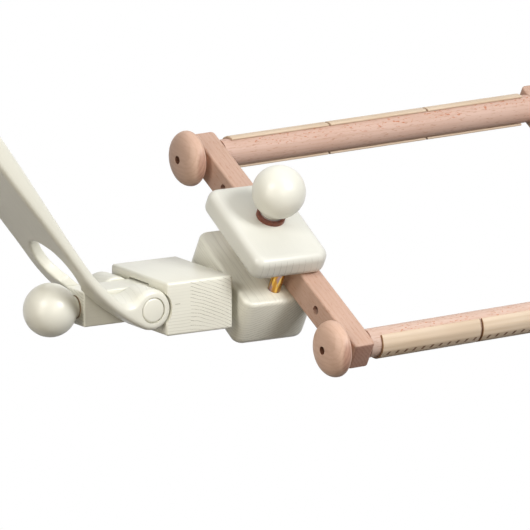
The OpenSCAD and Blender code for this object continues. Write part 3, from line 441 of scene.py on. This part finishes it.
creamArm = lacquer("creamArm", (armTurn, head), (-120, 10), 6.0, 8, 0.16, (0.755, 0.74, 0.648), 0.2)
creamSwivel = lacquer("creamSwivel", inside(atHead, [0, 0, 0], alongY), (45, 66), 4.1, 8, 0.80,
                      side=0.02, width=0.7, lean=0.62, joint=40.5)
creamHinge = lacquer("creamHinge", inside(atHead, [0, 0, 0], alongX), (-60, -20), 3.2, 6, 0.35, side=0.1)
creamLower = lacquer("creamLower", inside(atJaws, [0, 0, 0], alongY), (95, -75), 3.0, 6, 0.30, side=0.42, width=1.2)
creamUpper = lacquer("creamUpper", inside(atJaws, [clamp["x"], 0, 70], alongY), (-190, 6), 6.8, 9, 0.42,
                     (0.68, 0.67, 0.605), side=0.03, width=0.7)
creamBase = lacquer("creamBase", (alongY, np.array([0.0, 0.0, 0.0])), (10, -80), 5.0, 8, 0.40)
creamRail = lacquer("creamRail", (alongX, np.array([0.0, 0.0, 0.0])), (20, -80), 5.0, 8, 0.40)
creamPost = lacquer("creamPost", (np.eye(3), np.array([0.0, 0.0, 0.0])), (-90, 30), 5.0, 8, 0.40, side=0.25)
creamShoulder = lacquer("creamShoulder", inside(atShoulder, [0, 0, 0], alongY), (-40, -150), 4.3, 9, 0.5)
creamTurned = turnedLacquer("creamTurned")
creamPin = turnedLacquer("creamPin", (0.765, 0.75, 0.655))
beechBar = beechWood("beechBar", inside(atFrame, [0, 0, 0], alongY), (-30, 45), 3.0, (0.53, 0.348, 0.266),
                     fleck=0.85)
beechRoller = {
    "front": beechWood("beechRollerFront", atRoller(frontY), (30, 34), 3.4, (0.60, 0.43, 0.35),
                       fleck=0.85, spots=0.75),
    "back": beechWood("beechRollerBack", atRoller(backY), (-28, 30), 3.4, (0.60, 0.405, 0.325),
                      fleck=0.85, spots=0.85)}
# The last figure sets how much painted seam shade the clip ends get: much on the front row, little on the back.
clipPaint = {"front": clipWood("clipFront", atRoller(frontY), 0.9),
             "back": clipWood("clipBack", atRoller(backY), 0.15)}
leather = hide("leather")
yellowZinc = chromate("yellowZinc", inside(atJaws, [clamp["x"] - guide["inset"], -guide["front"], 0]))
zincSteel = metal("zincSteel", (0.55, 0.55, 0.56), (0.68, 0.68, 0.69), 0.30)
# Painted shade: the steel washers are coloured dark warm brown for the shaded gap between the balls' necks and the
# blocks.
shadedWasherSteel = metal("shadedWasherSteel", (0.30, 0.22, 0.15), (0.42, 0.32, 0.23), 0.40)
brass = metal("insertBrass", (0.55, 0.40, 0.18), (0.70, 0.53, 0.26), 0.35)
print("materials made")


# Mesh helpers


def newObject(name, verts, faces, material, smooth=True):
    mesh = bpy.data.meshes.new(name)
    mesh.from_pydata((np.asarray(verts, float) * mm).tolist(), [], faces)
    mesh.validate()
    mesh.polygons.foreach_set("use_smooth", np.full(len(mesh.polygons), smooth))
    mesh.materials.append(material)
    mesh.update()
    obj = bpy.data.objects.new(name, mesh)
    bpy.context.scene.collection.objects.link(obj)
    return obj


def recalc(obj):
    bm = bmesh.new()
    bm.from_mesh(obj.data)
    bmesh.ops.recalc_face_normals(bm, faces=bm.faces)
    bm.to_mesh(obj.data)
    bm.free()
    obj.data.update()


def placed(verts, place):
    # Turns the points, then moves them by the origin.
    turn, origin = place
    return np.asarray(verts, float) @ turn.T + origin


def lathe(profile, steps):
    # Turned form: each profile point (radius, height) becomes a ring round Z, and the two ends are closed.
    p = np.asarray(profile, float)
    a = np.linspace(0, 2 * np.pi, steps, endpoint=False)
    verts = np.stack([p[:, None, 0] * np.cos(a), p[:, None, 0] * np.sin(a),
                      np.repeat(p[:, 1:2], steps, 1)], -1).reshape(-1, 3)
    faces = []
    n = len(p)
    i = np.arange(steps)
    for j in range(n - 1):
        k = j + 1
        q = np.stack([j * steps + i, j * steps + (i + 1) % steps, k * steps + (i + 1) % steps, k * steps + i], -1)
        faces += q.tolist()
    faces.append(list(range(steps))[::-1])
    faces.append(list(range((n - 1) * steps, n * steps)))
    return verts, faces


def arcPoints(cx, cy, r, a0, a1, n):
    # Even steps along a circle's arc.
    a = np.radians(np.linspace(a0, a1, n))
    return [(cx + r * math.cos(t), cy + r * math.sin(t)) for t in a]


def roundedRect(w, h, r, n=8):
    # Outline of a rectangle with round corners, counter-clockwise, from the +X side.
    pts = []
    for sx, sy, a in ((1, 1, 0), (-1, 1, 90), (-1, -1, 180), (1, -1, 270)):
        pts += arcPoints(sx * (w / 2 - r), sy * (h / 2 - r), r, a, a + 90, n)
    return np.array(pts)


def softSlab(size, corner, edge, n=10, m=7, under=None):
    # Slab with plan corners of one radius and all long edges rolled over by another (the lower ones by
    # a third when given): each ring is the plan outline drawn in by the quarter-circle of the edge.
    w, d, h = size
    rings = []
    low = under or edge
    for a in np.radians(np.linspace(-90, 0, m)):
        rings.append((low * (1 - math.cos(a)), -h / 2 + low + low * math.sin(a)))
    for a in np.radians(np.linspace(0, 90, m)):
        rings.append((edge * (1 - math.cos(a)), h / 2 - edge + edge * math.sin(a)))
    verts = []
    for inset, z in rings:
        o = roundedRect(w - 2 * inset, d - 2 * inset, max(corner - inset, 0.6), n)
        verts.append(np.column_stack([o, np.full(len(o), z)]))
    k = len(verts[0])
    faces = []
    i = np.arange(k)
    for j in range(len(rings) - 1):
        faces += np.stack([j * k + i, j * k + (i + 1) % k, (j + 1) * k + (i + 1) % k, (j + 1) * k + i], -1).tolist()
    faces.append(list(range(k))[::-1])
    faces.append(list(range((len(rings) - 1) * k, len(rings) * k)))
    return np.vstack(verts), faces


def applied(obj):
    # Bakes the object's modifiers into its mesh.
    deps = bpy.context.evaluated_depsgraph_get()
    mesh = bpy.data.meshes.new_from_object(obj.evaluated_get(deps))
    old = obj.data
    obj.modifiers.clear()
    obj.data = mesh
    bpy.data.meshes.remove(old)
    mesh.polygons.foreach_set("use_smooth", np.full(len(mesh.polygons), True))
    mesh.update()
    return obj


def cut(obj, tools, how="DIFFERENCE"):
    # Takes the tools away from the piece, or joins them to it, and removes them.
    for t in tools:
        m = obj.modifiers.new("cut", "BOOLEAN")
        m.operation = how
        m.solver = "EXACT"
        m.object = t
    applied(obj)
    for t in tools:
        data = t.data
        bpy.data.objects.remove(t)
        bpy.data.meshes.remove(data)
    return obj


def finishPiece(obj, body, nodes):
    # The piece rides its body and stands in for the plain solids.
    obj.data.update()
    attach(obj, body)
    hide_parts(*nodes)
    return obj


def rodTool(r, h0, h1, place, steps=96):
    # Round cutter along the place's Z, between two heights.
    v, f = lathe([(r, h0), (r, h1)], steps)
    t = newObject("tool", placed(v, place), f, creamTurned, False)
    recalc(t)
    return t


def boxTool(lo, hi, place):
    # Square cutter between two corners.
    x0, y0, z0 = lo
    x1, y1, z1 = hi
    v = [(x, y, z) for z in (z0, z1) for x, y in ((x0, y0), (x1, y0), (x1, y1), (x0, y1))]
    f = [(0, 3, 2, 1), (4, 5, 6, 7), (0, 1, 5, 4), (1, 2, 6, 5), (2, 3, 7, 6), (3, 0, 4, 7)]
    t = newObject("tool", placed(v, place), f, creamTurned, False)
    recalc(t)
    return t


# Arm


def onCircle(c, r, deg):
    # The point of a circle at an angle from its first axis.
    return (c[0] + r * math.cos(math.radians(deg)), c[1] + r * math.sin(math.radians(deg)))


def stripHalf(t):
    # Half the strip's thickness, rising smoothly (3u² - 2u³) from the sweep to the middle.
    u = max(0.0, (t - sweepT) / (arm["half"] - sweepT))
    return arm["thin"] / 2 + (arm["middle"] - arm["thin"]) / 2 * u * u * (3 - 2 * u)


def halfOutline(d, f):
    # From the middle of the far face, down the sweep, round the boss, over the saddle and back up the near face.
    centre = (sweepT, sweepH)
    topR = arm["bend"] - arm["thin"]
    p, q, e = arm["boss"] + f, topR - f, arm["bend"] - arm["boss"]
    touch = sweepPolar - math.degrees(math.acos((p * p + e * e - q * q) / (2 * p * e)))
    fc = onCircle((0, 0), arm["boss"] + f, touch)
    meet = math.degrees(math.atan2(fc[1] - sweepH, fc[0] - sweepT)) % 360
    pts = []
    for i in range(14):
        t = arm["half"] + (sweepT - arm["half"]) * i / 14
        pts.append((t, centreW - stripHalf(t) + d))
    for i in range(16):
        pts.append(onCircle(centre, arm["bend"] - d, 270 - (90 - sweepPolar) * i / 16))
    for i in range(56):
        pts.append(onCircle((0, 0), arm["boss"] - d, 180 + sweepPolar - (180 + sweepPolar - touch) * i / 56))
    for i in range(19):
        pts.append(onCircle(fc, f + d, touch + 180 + (meet - touch - 180) * i / 18))
    for i in range(1, 13):
        pts.append(onCircle(centre, topR + d, meet + (270 - meet) * i / 12))
    for i in range(1, 14):
        t = sweepT + (arm["half"] - sweepT) * i / 14
        pts.append((t, centreW + stripHalf(t) - d))
    h = np.array(pts)
    return np.vstack([h, np.array([[2 * arm["half"], 2 * centreW]]) - h])


def makeArm():
    # Forked arm: rings of the outline stand side by side across the width, drawn in near both sides by the
    # quarter-circle of the edge; the slots and the round eyes are cut out, and a fine even remesh is smoothed.
    edge = arm["edge"]
    depths = list(edge * (1 - np.cos(np.radians(np.linspace(0, 90, 8))))) + [8, 14, 20, 28, 34.6, 44]
    ys = np.array([q - arm["width"] / 2 for q in depths] + [arm["width"] / 2 - q for q in depths[::-1]])
    rings = []
    for y in ys:
        depth = arm["width"] / 2 - abs(y)
        inset = 0.0 if depth >= edge else edge - math.sqrt(max(0.0, edge ** 2 - (edge - depth) ** 2))
        fillet = 10 + 20 * min(1.0, depth / (arm["width"] / 2 - arm["slot"] / 2))
        o = halfOutline(inset, fillet)
        rings.append(np.column_stack([o[:, 1] * sinP - o[:, 0] * cosP, np.full(len(o), y),
                                      o[:, 0] * sinP + o[:, 1] * cosP]))
    n, m = len(rings[0]), len(ys)
    faces = []
    i = np.arange(n)
    for j in range(m - 1):
        faces += np.stack([j * n + i, (j + 1) * n + i, (j + 1) * n + (i + 1) % n, j * n + (i + 1) % n], -1).tolist()
    faces.append(list(range(n)))
    faces.append(list(range((m - 1) * n, m * n))[::-1])
    obj = newObject("arm_wood", placed(np.vstack(rings), atHead), faces, creamArm)
    recalc(obj)
    tools = []
    plane = np.array([[-cosP, 0, sinP], [0, 1, 0], [sinP, 0, cosP]], float)
    for place in (atHead, atShoulder):
        turn, origin = place
        full = (turn @ plane, origin)
        tools.append(boxTool((-40, -arm["slot"] / 2, -75), (arm["eyePlace"], arm["slot"] / 2, 55), full))
        eye = inside(full, [arm["eyePlace"], 0, centreW], rotY(arm["eyeLean"]))
        tools.append(rodTool(arm["eye"], -45, 45, eye, 128))
    cut(obj, tools)
    # The even remesh is made with the strip turned square to the axes, so that its flat faces stay flat.
    lay = Matrix([list(map(float, r)) for r in armTurn.T]).to_4x4()
    obj.data.transform(lay)
    r = obj.modifiers.new("even", "REMESH")
    r.mode = "VOXEL"
    r.voxel_size = arm["voxel"] * mm
    s = obj.modifiers.new("soft", "SMOOTH")
    s.factor = 0.5
    s.iterations = arm["soften"]
    applied(obj)
    obj.data.transform(lay.transposed())
    cut(obj, [rodTool(pin["radius"] + 0.12, -arm["width"], arm["width"], inside(place, [0, 0, 0], rotX(-90)))
              for place in (atHead, atShoulder)])
    obj.data.set_sharp_from_angle(angle=math.radians(42))
    obj.data.materials.clear()
    obj.data.materials.append(creamArm)
    print("arm faces", len(obj.data.polygons))
    return finishPiece(obj, "arm", ["arm"])


makeArm()


def makePin(name, node, body, place):
    # Cross pin: flush discs with a worn bevel, and the cross hole for the clamping bolt.
    r, half = pin["radius"] - 0.04, arm["width"] / 2
    side = [(r, 3.0), (r - 0.1, 2.0), (r - 0.65, 1.5), (r - 0.95, 0.75),
            (11.0, 0.4), (10.3, 0.12), (9.9, 0.02), (0.01, 0.0)]
    prof = [(q, d - half) for q, d in side[::-1]] + [(r, 0.0)] + [(q, half - d) for q, d in side]
    v, f = lathe(prof, 128)
    o = newObject(name, placed(v, inside(place, [0, 0, 0], rotX(90))), f, creamPin)
    recalc(o)
    cut(o, [rodTool(5.4, -20, 20, inside(place, [0, 0, 0], rotY(90)))])
    o.data.materials.clear()
    o.data.materials.append(creamPin)
    o.data.set_sharp_from_angle(angle=math.radians(50))
    return finishPiece(o, body, [node])


makePin("head_pin", "hinge_pin", "head", atHead)
makePin("top_pin", "shoulder_pin", "shoulder", atShoulder)


# Turned knobs


ball = {"radius": 26.0, "neck": 11.0, "seat": 26.5, "washer": 1.0}
mushroom = {"radius": 27.3, "height": 24.7, "neck": 5.8, "rim": 11.2, "roll": 6.9, "bore": 14.0}


def ballProfile():
    # A straight neck with an eased foot, then a circle from where it meets the neck up to the pole.
    r, neck, seat = ball["radius"], ball["neck"], ball["seat"]
    meet = math.asin((neck + 0.6) / r)
    pts = [(0.01, 0.0), (neck - 1.0, 0.0), (neck - 0.2, 0.35), (neck, 1.2),
           (neck + 0.1, seat - r * math.cos(meet) - 0.7)]
    for a in np.linspace(meet, math.pi, 60):
        pts.append((max(0.01, r * math.sin(a)), seat - r * math.cos(a)))
    return pts


knobs = [
    {"name": "head_ball", "node": "hinge_ball_knob", "body": "hinge_knob",
     "place": inside(atHead, [-tongue["out"] - ball["washer"], 0, 0], rotY(-90))},
    {"name": "shoulder_ball", "node": "shoulder_ball_knob", "body": "shoulder_knob",
     "place": inside(atShoulder, [-tongue["out"] - ball["washer"], 0, 0], rotY(-90))},
    {"name": "clamp_ball", "node": "clamp_ball_knob", "body": "clamp_knob",
     "place": inside(atJaws, [clamp["x"], 0, barMid + bar["height"] / 2 + 0.2 + upperJaw["thick"] + 5.03])},
    {"name": "column_ball", "node": "column_ball_knob", "body": "column_knob",
     "place": (rotX(90), np.array([0, -37.0, 437.0]))},
    {"name": "swivel_ball", "node": "swivel_ball_knob", "body": "swivel_knob",
     "place": (rotX(90), np.array([0, -24.7, shoulder[2] - 77.0]))},
]
for k in knobs:
    v, f = lathe(ballProfile(), 128)
    o = newObject(k["name"], placed(v, k["place"]), f, creamTurned)
    recalc(o)
    finishPiece(o, k["body"], [k["node"]])


def mushroomProfile():
    # A short neck on the bar, a rounded underside, then a dome that flattens towards the crown,
    # with a blind hole in it.
    r, h, low, rim = mushroom["radius"], mushroom["height"], mushroom["neck"], mushroom["rim"]
    seat, deep = r - mushroom["roll"], mushroom["bore"] + 0.5
    pts = [(0.01, 0.0), (13.4, 0.0), (13.4, 0.8), (12.6, 1.8), (12.3, 3.2), (12.9, 4.6), (14.6, low)]
    for a in np.radians(np.linspace(4, 86, 12)):
        pts.append((seat + (r - seat) * math.sin(a), low + (rim - low) * (1 - math.cos(a))))
    for a in np.radians(np.linspace(0, 90, 36)):
        pts.append((r * math.cos(a) ** 0.7, rim + (h - rim) * math.sin(a) ** 0.95))
    pts = [p for p in pts if p[0] > 4.4 or p[1] < 1]
    pts += [(4.15, h - 0.05), (4.0, h - 0.15), (3.95, h - 0.4), (3.95, deep), (0.01, deep)]
    return pts


for side, edge, turn in (("left", -bar["width"] - 0.3, rotY(180)),
                         ("right", frameInner + bar["width"] + 0.3, np.eye(3))):
    for row, y in (("front", frontY), ("back", backY)):
        place = inside(atRoller(y), [0, 0, edge], turn)
        wood = beechWood("beechKnob_%s_%s" % (row, side), inside(place, [0, 0, 0], rotX(90) @ rotY(20)),
                         (20 if side == "left" else -25, 60), 3.6, (0.645, 0.43, 0.325), (0.44, 0.25, 0.17),
                         0.18, 0.42, shadedHoleAt=place)
        v, f = lathe(mushroomProfile(), 144)
        o = newObject("%s_%s_mushroom" % (row, side), placed(v, place), f, wood)
        recalc(o)
        o.data.set_sharp_from_angle(angle=math.radians(38))
        finishPiece(o, "%s_%s_knob" % (row, side), ["%s_%s_knob" % (row, side)])
print("knobs made")


# Rollers and clips


def clipMesh(start, mouth):
    # C-shaped section with round lips and faint planed facets, swept along the clip with softened ends.
    inner = roller["radius"] + 0.05
    mid = inner + clip["wall"] / 2
    half = 180 - mouth / 2
    arc = np.linspace(-half, half, 61)
    a = np.radians(arc)
    outR = inner + clip["wall"] - 0.1 + 0.10 * np.cos(a * 360 / 26.0)
    outer = np.column_stack([outR * np.cos(a), outR * np.sin(a)])
    inPts = np.column_stack([inner * np.cos(a[::-1]), inner * np.sin(a[::-1])])
    lips = []
    for end, way in ((half, 1), (-half, -1)):
        # A lip leaves the wall's end as half an oval, first from outside to inside, then back.
        t = np.radians(np.linspace(0, 180, 9)[1:-1])
        r = mid + way * (clip["wall"] / 2) * np.cos(t)
        turn = np.radians(end) + way * 0.75 * (clip["wall"] / 2) * np.sin(t) / mid
        lips.append(np.column_stack([r * np.cos(turn), r * np.sin(turn)]))
    loop = np.vstack([outer, lips[0], inPts, lips[1]])
    share = (np.degrees(np.arctan2(loop[:, 1], loop[:, 0])) + half) / (2 * half)
    n = len(loop)
    verts, uv = [], []
    for z, shrink in ((0.0, 0.25), (0.12, 0.10), (0.45, 0.0), (clip["length"] / 2, 0.0),
                      (clip["length"] - 0.45, 0.0), (clip["length"] - 0.12, 0.10), (clip["length"], 0.25)):
        r = np.hypot(loop[:, 0], loop[:, 1])
        scale = (mid + (r - mid) * (1 - shrink)) / r
        verts.append(np.column_stack([loop * scale[:, None], np.full(n, start + z)]))
        uv.append(np.column_stack([np.full(n, z * mm), share]))
    m = len(verts)
    faces = []
    i = np.arange(n)
    for j in range(m - 1):
        faces += np.stack([j * n + i, j * n + (i + 1) % n, (j + 1) * n + (i + 1) % n, (j + 1) * n + i], -1).tolist()
    # The end faces pair each outer point with the inner point opposite; the lips close the two ends.
    ring = np.roll(np.arange(n), 4)
    for base, flip in ((0, True), ((m - 1) * n, False)):
        for k in range(n // 2):
            q = list(dict.fromkeys(int(base + ring[c]) for c in (k, k + 1, n - 1 - k, (n - k) % n)))
            faces.append(q[::-1] if flip else q)
    return np.vstack(verts), faces, np.vstack(uv)


for row, y in (("front", frontY), ("back", backY)):
    place = atRoller(y)
    r, length = roller["radius"], frameInner
    # The ends stand a hair off the bars, with a small turned edge.
    end, rim = roller["end"], roller["rim"]
    prof = [(0.01, end), (r - rim, end), (r - 0.1, end + 0.1), (r, end + rim), (r, 2)]
    prof += [(r, z) for z in np.linspace(10, length - 10, 30)]
    prof += [(r, length - 2), (r, length - end - rim), (r - 0.1, length - end - 0.1), (r - rim, length - end)]
    prof.append((0.01, length - end))
    v, f = lathe(prof, 96)
    o = newObject("%s_roller_wood" % row, placed(v, place), f, beechRoller[row])
    recalc(o)
    finishPiece(o, "%s_roller" % row, ["%s_roller" % row])
    allV, allF, allUv = [], [], []
    count = 0
    for c in range(clip["count"]):
        v, f, u = clipMesh(clip["margin"] + c * (clip["length"] + clip["gap"]), clip["mouth"][row])
        allV.append(v)
        allUv.append(u)
        allF += [[count + c for c in q] for q in f]
        count += len(v)
    spun = inside(place, [0, 0, 0], rotZ(clip["turn"][row] + 180))
    o = newObject("%s_clips" % row, placed(np.vstack(allV), spun), allF, clipPaint[row])
    uvs = np.vstack(allUv)
    layer = o.data.uv_layers.new(name="clipStrip")
    index = np.empty(len(o.data.loops), dtype=np.int32)
    o.data.loops.foreach_get("vertex_index", index)
    layer.data.foreach_set("uv", uvs[index].astype(np.float32).ravel())
    recalc(o)
    o.data.set_sharp_from_angle(angle=math.radians(40))
    finishPiece(o, "%s_roller" % row, ["%s_roller_clips" % row])
print("rollers made")


# Grooved blocks


def makeBlock(name, node, body, place, drop, paint):
    # Eased block with the hinge groove, the recess for the tongue and the bolt's bore.
    v, f = softSlab((block["length"], block["depth"], block["height"]), block["edge"], block["edge"], 6, 6)
    o = newObject(name, placed(v, inside(place, [shoulderX, 0, -drop])), f, paint)
    recalc(o)
    groove, recess = arm["boss"] + 0.3, tongue["width"] / 2 + 1.5
    along = inside(place, [0, 0, 0], rotY(90))
    cut(o, [rodTool(groove, -70, 70, inside(place, [0, 0, 0], rotX(90)), 128),
            boxTool((block["gap"] - 1, -recess, -recess), (tongue["in"] + 2.5, recess, recess), place),
            rodTool(5.4, 0, block["gap"] + block["length"] + 1, along)])
    o.data.materials.clear()
    o.data.materials.append(paint)
    o.data.set_sharp_from_angle(angle=math.radians(50))
    return finishPiece(o, body, [node])


makeBlock("swivel_block_wood", "swivel_block", "head", atHead, block["drop"], creamSwivel)


# Jaws


def jawHoles(low, high, deep):
    # Clearance hole of the clamp bolt and blind holes of the two guide pins.
    tools = [rodTool(5.4, low - 2, high + 2, inside(atJaws, [clamp["x"], 0, 0]))]
    for y in (-guide["front"], guide["back"]):
        place = inside(atJaws, [clamp["x"] - guide["inset"], y, 0])
        tools.append(rodTool(guide["radius"] + 0.2, deep[0], deep[1], place))
    return tools


def makeUpperJaw():
    # Soft slab over the bar, with the bolt's hole and the guide pins' blind holes.
    long, wide, thick = upperJaw["length"], upperJaw["depth"], upperJaw["thick"]
    v, f = softSlab((long, wide, thick), upperJaw["corner"], upperJaw["edge"])
    base = barMid + bar["height"] / 2 + 0.2
    place = inside(atJaws, [upperJaw["left"] + long / 2, -lowerJaw["shift"], base + thick / 2])
    o = newObject("upper_jaw_wood", placed(v, place), f, creamUpper)
    recalc(o)
    cut(o, jawHoles(base, base + thick, (base - 2, base + 18.5)))
    o.data.materials.clear()
    o.data.materials.append(creamUpper)
    o.data.set_sharp_from_angle(angle=math.radians(50))
    return finishPiece(o, "upper_jaw", ["upper_jaw"])


def makeLowerJaw():
    # Soft block under the bar, joined to a round spigot that turns in the head's block.
    left, long, top, high = lowerJaw["left"], lowerJaw["length"], lowerJaw["top"], lowerJaw["height"]
    low = top - high
    v, f = softSlab((long, lowerJaw["depth"], high), lowerJaw["corner"], lowerJaw["edge"], under=lowerJaw["under"])
    place = inside(atJaws, [left + long / 2, -lowerJaw["shift"], top - high / 2])
    o = newObject("lower_jaw_wood", placed(v, place), f, creamLower)
    recalc(o)
    along = inside(atJaws, [0, 0, 0], rotY(90))
    face = block["gap"] + block["length"]
    cut(o, [rodTool(22.0, face + 3.0, left + 3, along)], "UNION")
    tools = jawHoles(low, top, (top - 39, top + 2))
    tools.append(rodTool(9.6, low - 2, low + 8.9, inside(atJaws, [clamp["x"], 0, 0])))
    tools.append(rodTool(5.5, face, left + 24, along))
    tools.append(rodTool(7.2, face, left + 25, along))
    cut(o, tools)
    o.data.materials.clear()
    o.data.materials.append(creamLower)
    o.data.set_sharp_from_angle(angle=math.radians(50))
    return finishPiece(o, "jaw", ["lower_jaw"])


def makeBar(name, node, x0):
    # Side bar with eased edges and its four cross holes, two for the rollers and two spare.
    low, high = frontY - bar["front"], backY + bar["back"]
    v, f = softSlab((bar["width"], high - low, bar["height"]), bar["corner"], bar["edge"])
    o = newObject(name, placed(v, inside(atFrame, [x0 + bar["width"] / 2, (low + high) / 2, 0])), f, beechBar)
    recalc(o)
    cut(o, [rodTool(bar["hole"], -2, bar["width"] + 2, inside(atFrame, [x0, y, roller["lift"]], rotY(90)), 64)
            for y in (frontY, frontY + bar["spareFront"], backY - bar["spareBack"], backY)])
    o.data.materials.clear()
    o.data.materials.append(beechBar)
    o.data.set_sharp_from_angle(angle=math.radians(50))
    return finishPiece(o, "scroll_frame", [node])


makeLowerJaw()
makeUpperJaw()
makeBar("left_bar", "left_side_bar", barX)
makeBar("right_bar", "right_side_bar", rightBarX)
print("jaws made")

# Carried-over solids get their materials here
paints = {
    "swivel_block": creamSwivel, "hinge_block": creamHinge, "lower_jaw": creamLower,
    "shoulder_block": creamShoulder, "shoulder_hinge_block": creamHinge,
    "column_foot": creamBase, "end_foot": creamBase, "base_rail": creamRail, "outer_column": creamPost,
    "inner_post": creamPost, "post_cap": creamTurned,
    "hinge_washer": shadedWasherSteel, "shoulder_washer": shadedWasherSteel,
    "leather_washer": leather, "tilt_washer": leather, "swivel_washer": leather, "guide_pins": yellowZinc,
    "rail_dowels": clipPaint["front"],
}
for name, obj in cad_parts.items():
    paint = paints.get(name)
    if paint is None:
        paint = brass if "insert" in name else zincSteel
    if obj.type == "MESH":
        obj.data.materials.clear()
        obj.data.materials.append(paint)
print("solids painted")

# Stage, light and background


def makeFloor():
    n = 128
    a = np.linspace(0, 2 * np.pi, n, endpoint=False)
    v = np.column_stack([300 + 1450 * np.cos(a), 1450 * np.sin(a), np.full(n, -0.4)])
    net = Net("floorPaint")
    tc = net.add("ShaderNodeTexCoord")
    grain = net.noise(tc.outputs["Object"], 60.0, 3.0)
    net.link(net.mix(grain, rgba(0.80, 0.80, 0.80), rgba(0.83, 0.83, 0.83)), net.shader.inputs["Base Color"])
    net.shader.inputs["Roughness"].default_value = 0.9
    o = newObject("floor", v, [list(range(n))], net.material, False)
    # The floor stays pale for the camera but throws no light back up: the product shot has dark undersides.
    o.visible_diffuse = False
    return o


makeFloor()


def softBox(name, turn, height, size, power, tone=(1.0, 1.0, 1.0), mirrored=True, distance=2.2):
    # Square light aimed at the head, placed by its angle off the camera's bearing and its height angle.
    data = bpy.data.lights.new(name, "AREA")
    data.shape = "SQUARE"
    data.size = size
    data.energy = power
    data.color = tone
    obj = bpy.data.objects.new(name, data)
    bpy.context.scene.collection.objects.link(obj)
    a, h = math.radians(camAz + turn), math.radians(height)
    d = Vector((math.sin(a) * math.cos(h), -math.cos(a) * math.cos(h), math.sin(h)))
    target = Vector((head + np.array([60, 0, 20])) * mm)
    obj.location = target + d * distance
    obj.rotation_euler = d.to_track_quat("Z", "Y").to_euler()
    obj.visible_glossy = mirrored


# The light from behind only fills: its mirror image would show on top of the balls.
lamps = [
    {"name": "lowLeft", "turn": -38, "height": 6, "size": 1.0, "power": 10, "tone": (1.0, 0.91, 0.78)},
    {"name": "lowFront", "turn": 20, "height": 12, "size": 1.0, "power": 7.5, "tone": (1.0, 0.92, 0.80)},
    {"name": "left", "turn": -35, "height": 34, "size": 0.7, "power": 16.5, "tone": (1.0, 0.99, 0.97)},
    {"name": "right", "turn": 52, "height": 32, "size": 0.7, "power": 36, "tone": (0.98, 1.0, 1.02)},
    {"name": "high", "turn": 35, "height": 60, "size": 1.0, "power": 4.5},
    {"name": "rim", "turn": 180, "height": 62, "size": 1.3, "power": 14, "mirrored": False},
]
for lamp in lamps:
    softBox(**lamp)

# The room's own light: darker and warmer from below, and plain white where it is looked at.
room = {"below": (0.038, 0.024, 0.011), "above": (0.145, 0.142, 0.133), "seen": (1.0, 1.0, 1.0)}
world = bpy.data.worlds.new("world")
bpy.context.scene.world = world
world.use_nodes = True
wt = world.node_tree
wt.nodes.clear()
wOut, wMix, wDim, wBright, wPath, wSide, wSplit, wRise, wTone = [
    wt.nodes.new("ShaderNode" + kind) for kind in (
        "OutputWorld", "MixShader", "Background", "Background", "LightPath", "TexCoord", "SeparateXYZ",
        "MapRange", "Mix")]
wTone.data_type = "RGBA"
wRise.inputs[1].default_value, wRise.inputs[2].default_value = -0.35, 0.35
wTone.inputs[6].default_value = rgba(*room["below"])
wTone.inputs[7].default_value = rgba(*room["above"])
wt.links.new(wSide.outputs["Generated"], wSplit.inputs[0])
wt.links.new(wSplit.outputs[2], wRise.inputs[0])
wt.links.new(wRise.outputs[0], wTone.inputs[0])
wt.links.new(wTone.outputs[2], wDim.inputs["Color"])
wBright.inputs["Color"].default_value = rgba(*room["seen"])
for shade in (wDim, wBright):
    shade.inputs["Strength"].default_value = 1.0
# Metal and lacquer mirror the same white as the camera sees.
wSeen = wPath.outputs["Is Camera Ray"]
for ray in ("Is Glossy Ray", "Is Transmission Ray"):
    either = wt.nodes.new("ShaderNodeMath")
    either.operation = "MAXIMUM"
    wt.links.new(wSeen, either.inputs[0])
    wt.links.new(wPath.outputs[ray], either.inputs[1])
    wSeen = either.outputs[0]
wt.links.new(wSeen, wMix.inputs[0])
wt.links.new(wDim.outputs[0], wMix.inputs[1])
wt.links.new(wBright.outputs[0], wMix.inputs[2])
wt.links.new(wMix.outputs[0], wOut.inputs[0])
bpy.context.scene.view_settings.view_transform = "Standard"
print("stage and light set")
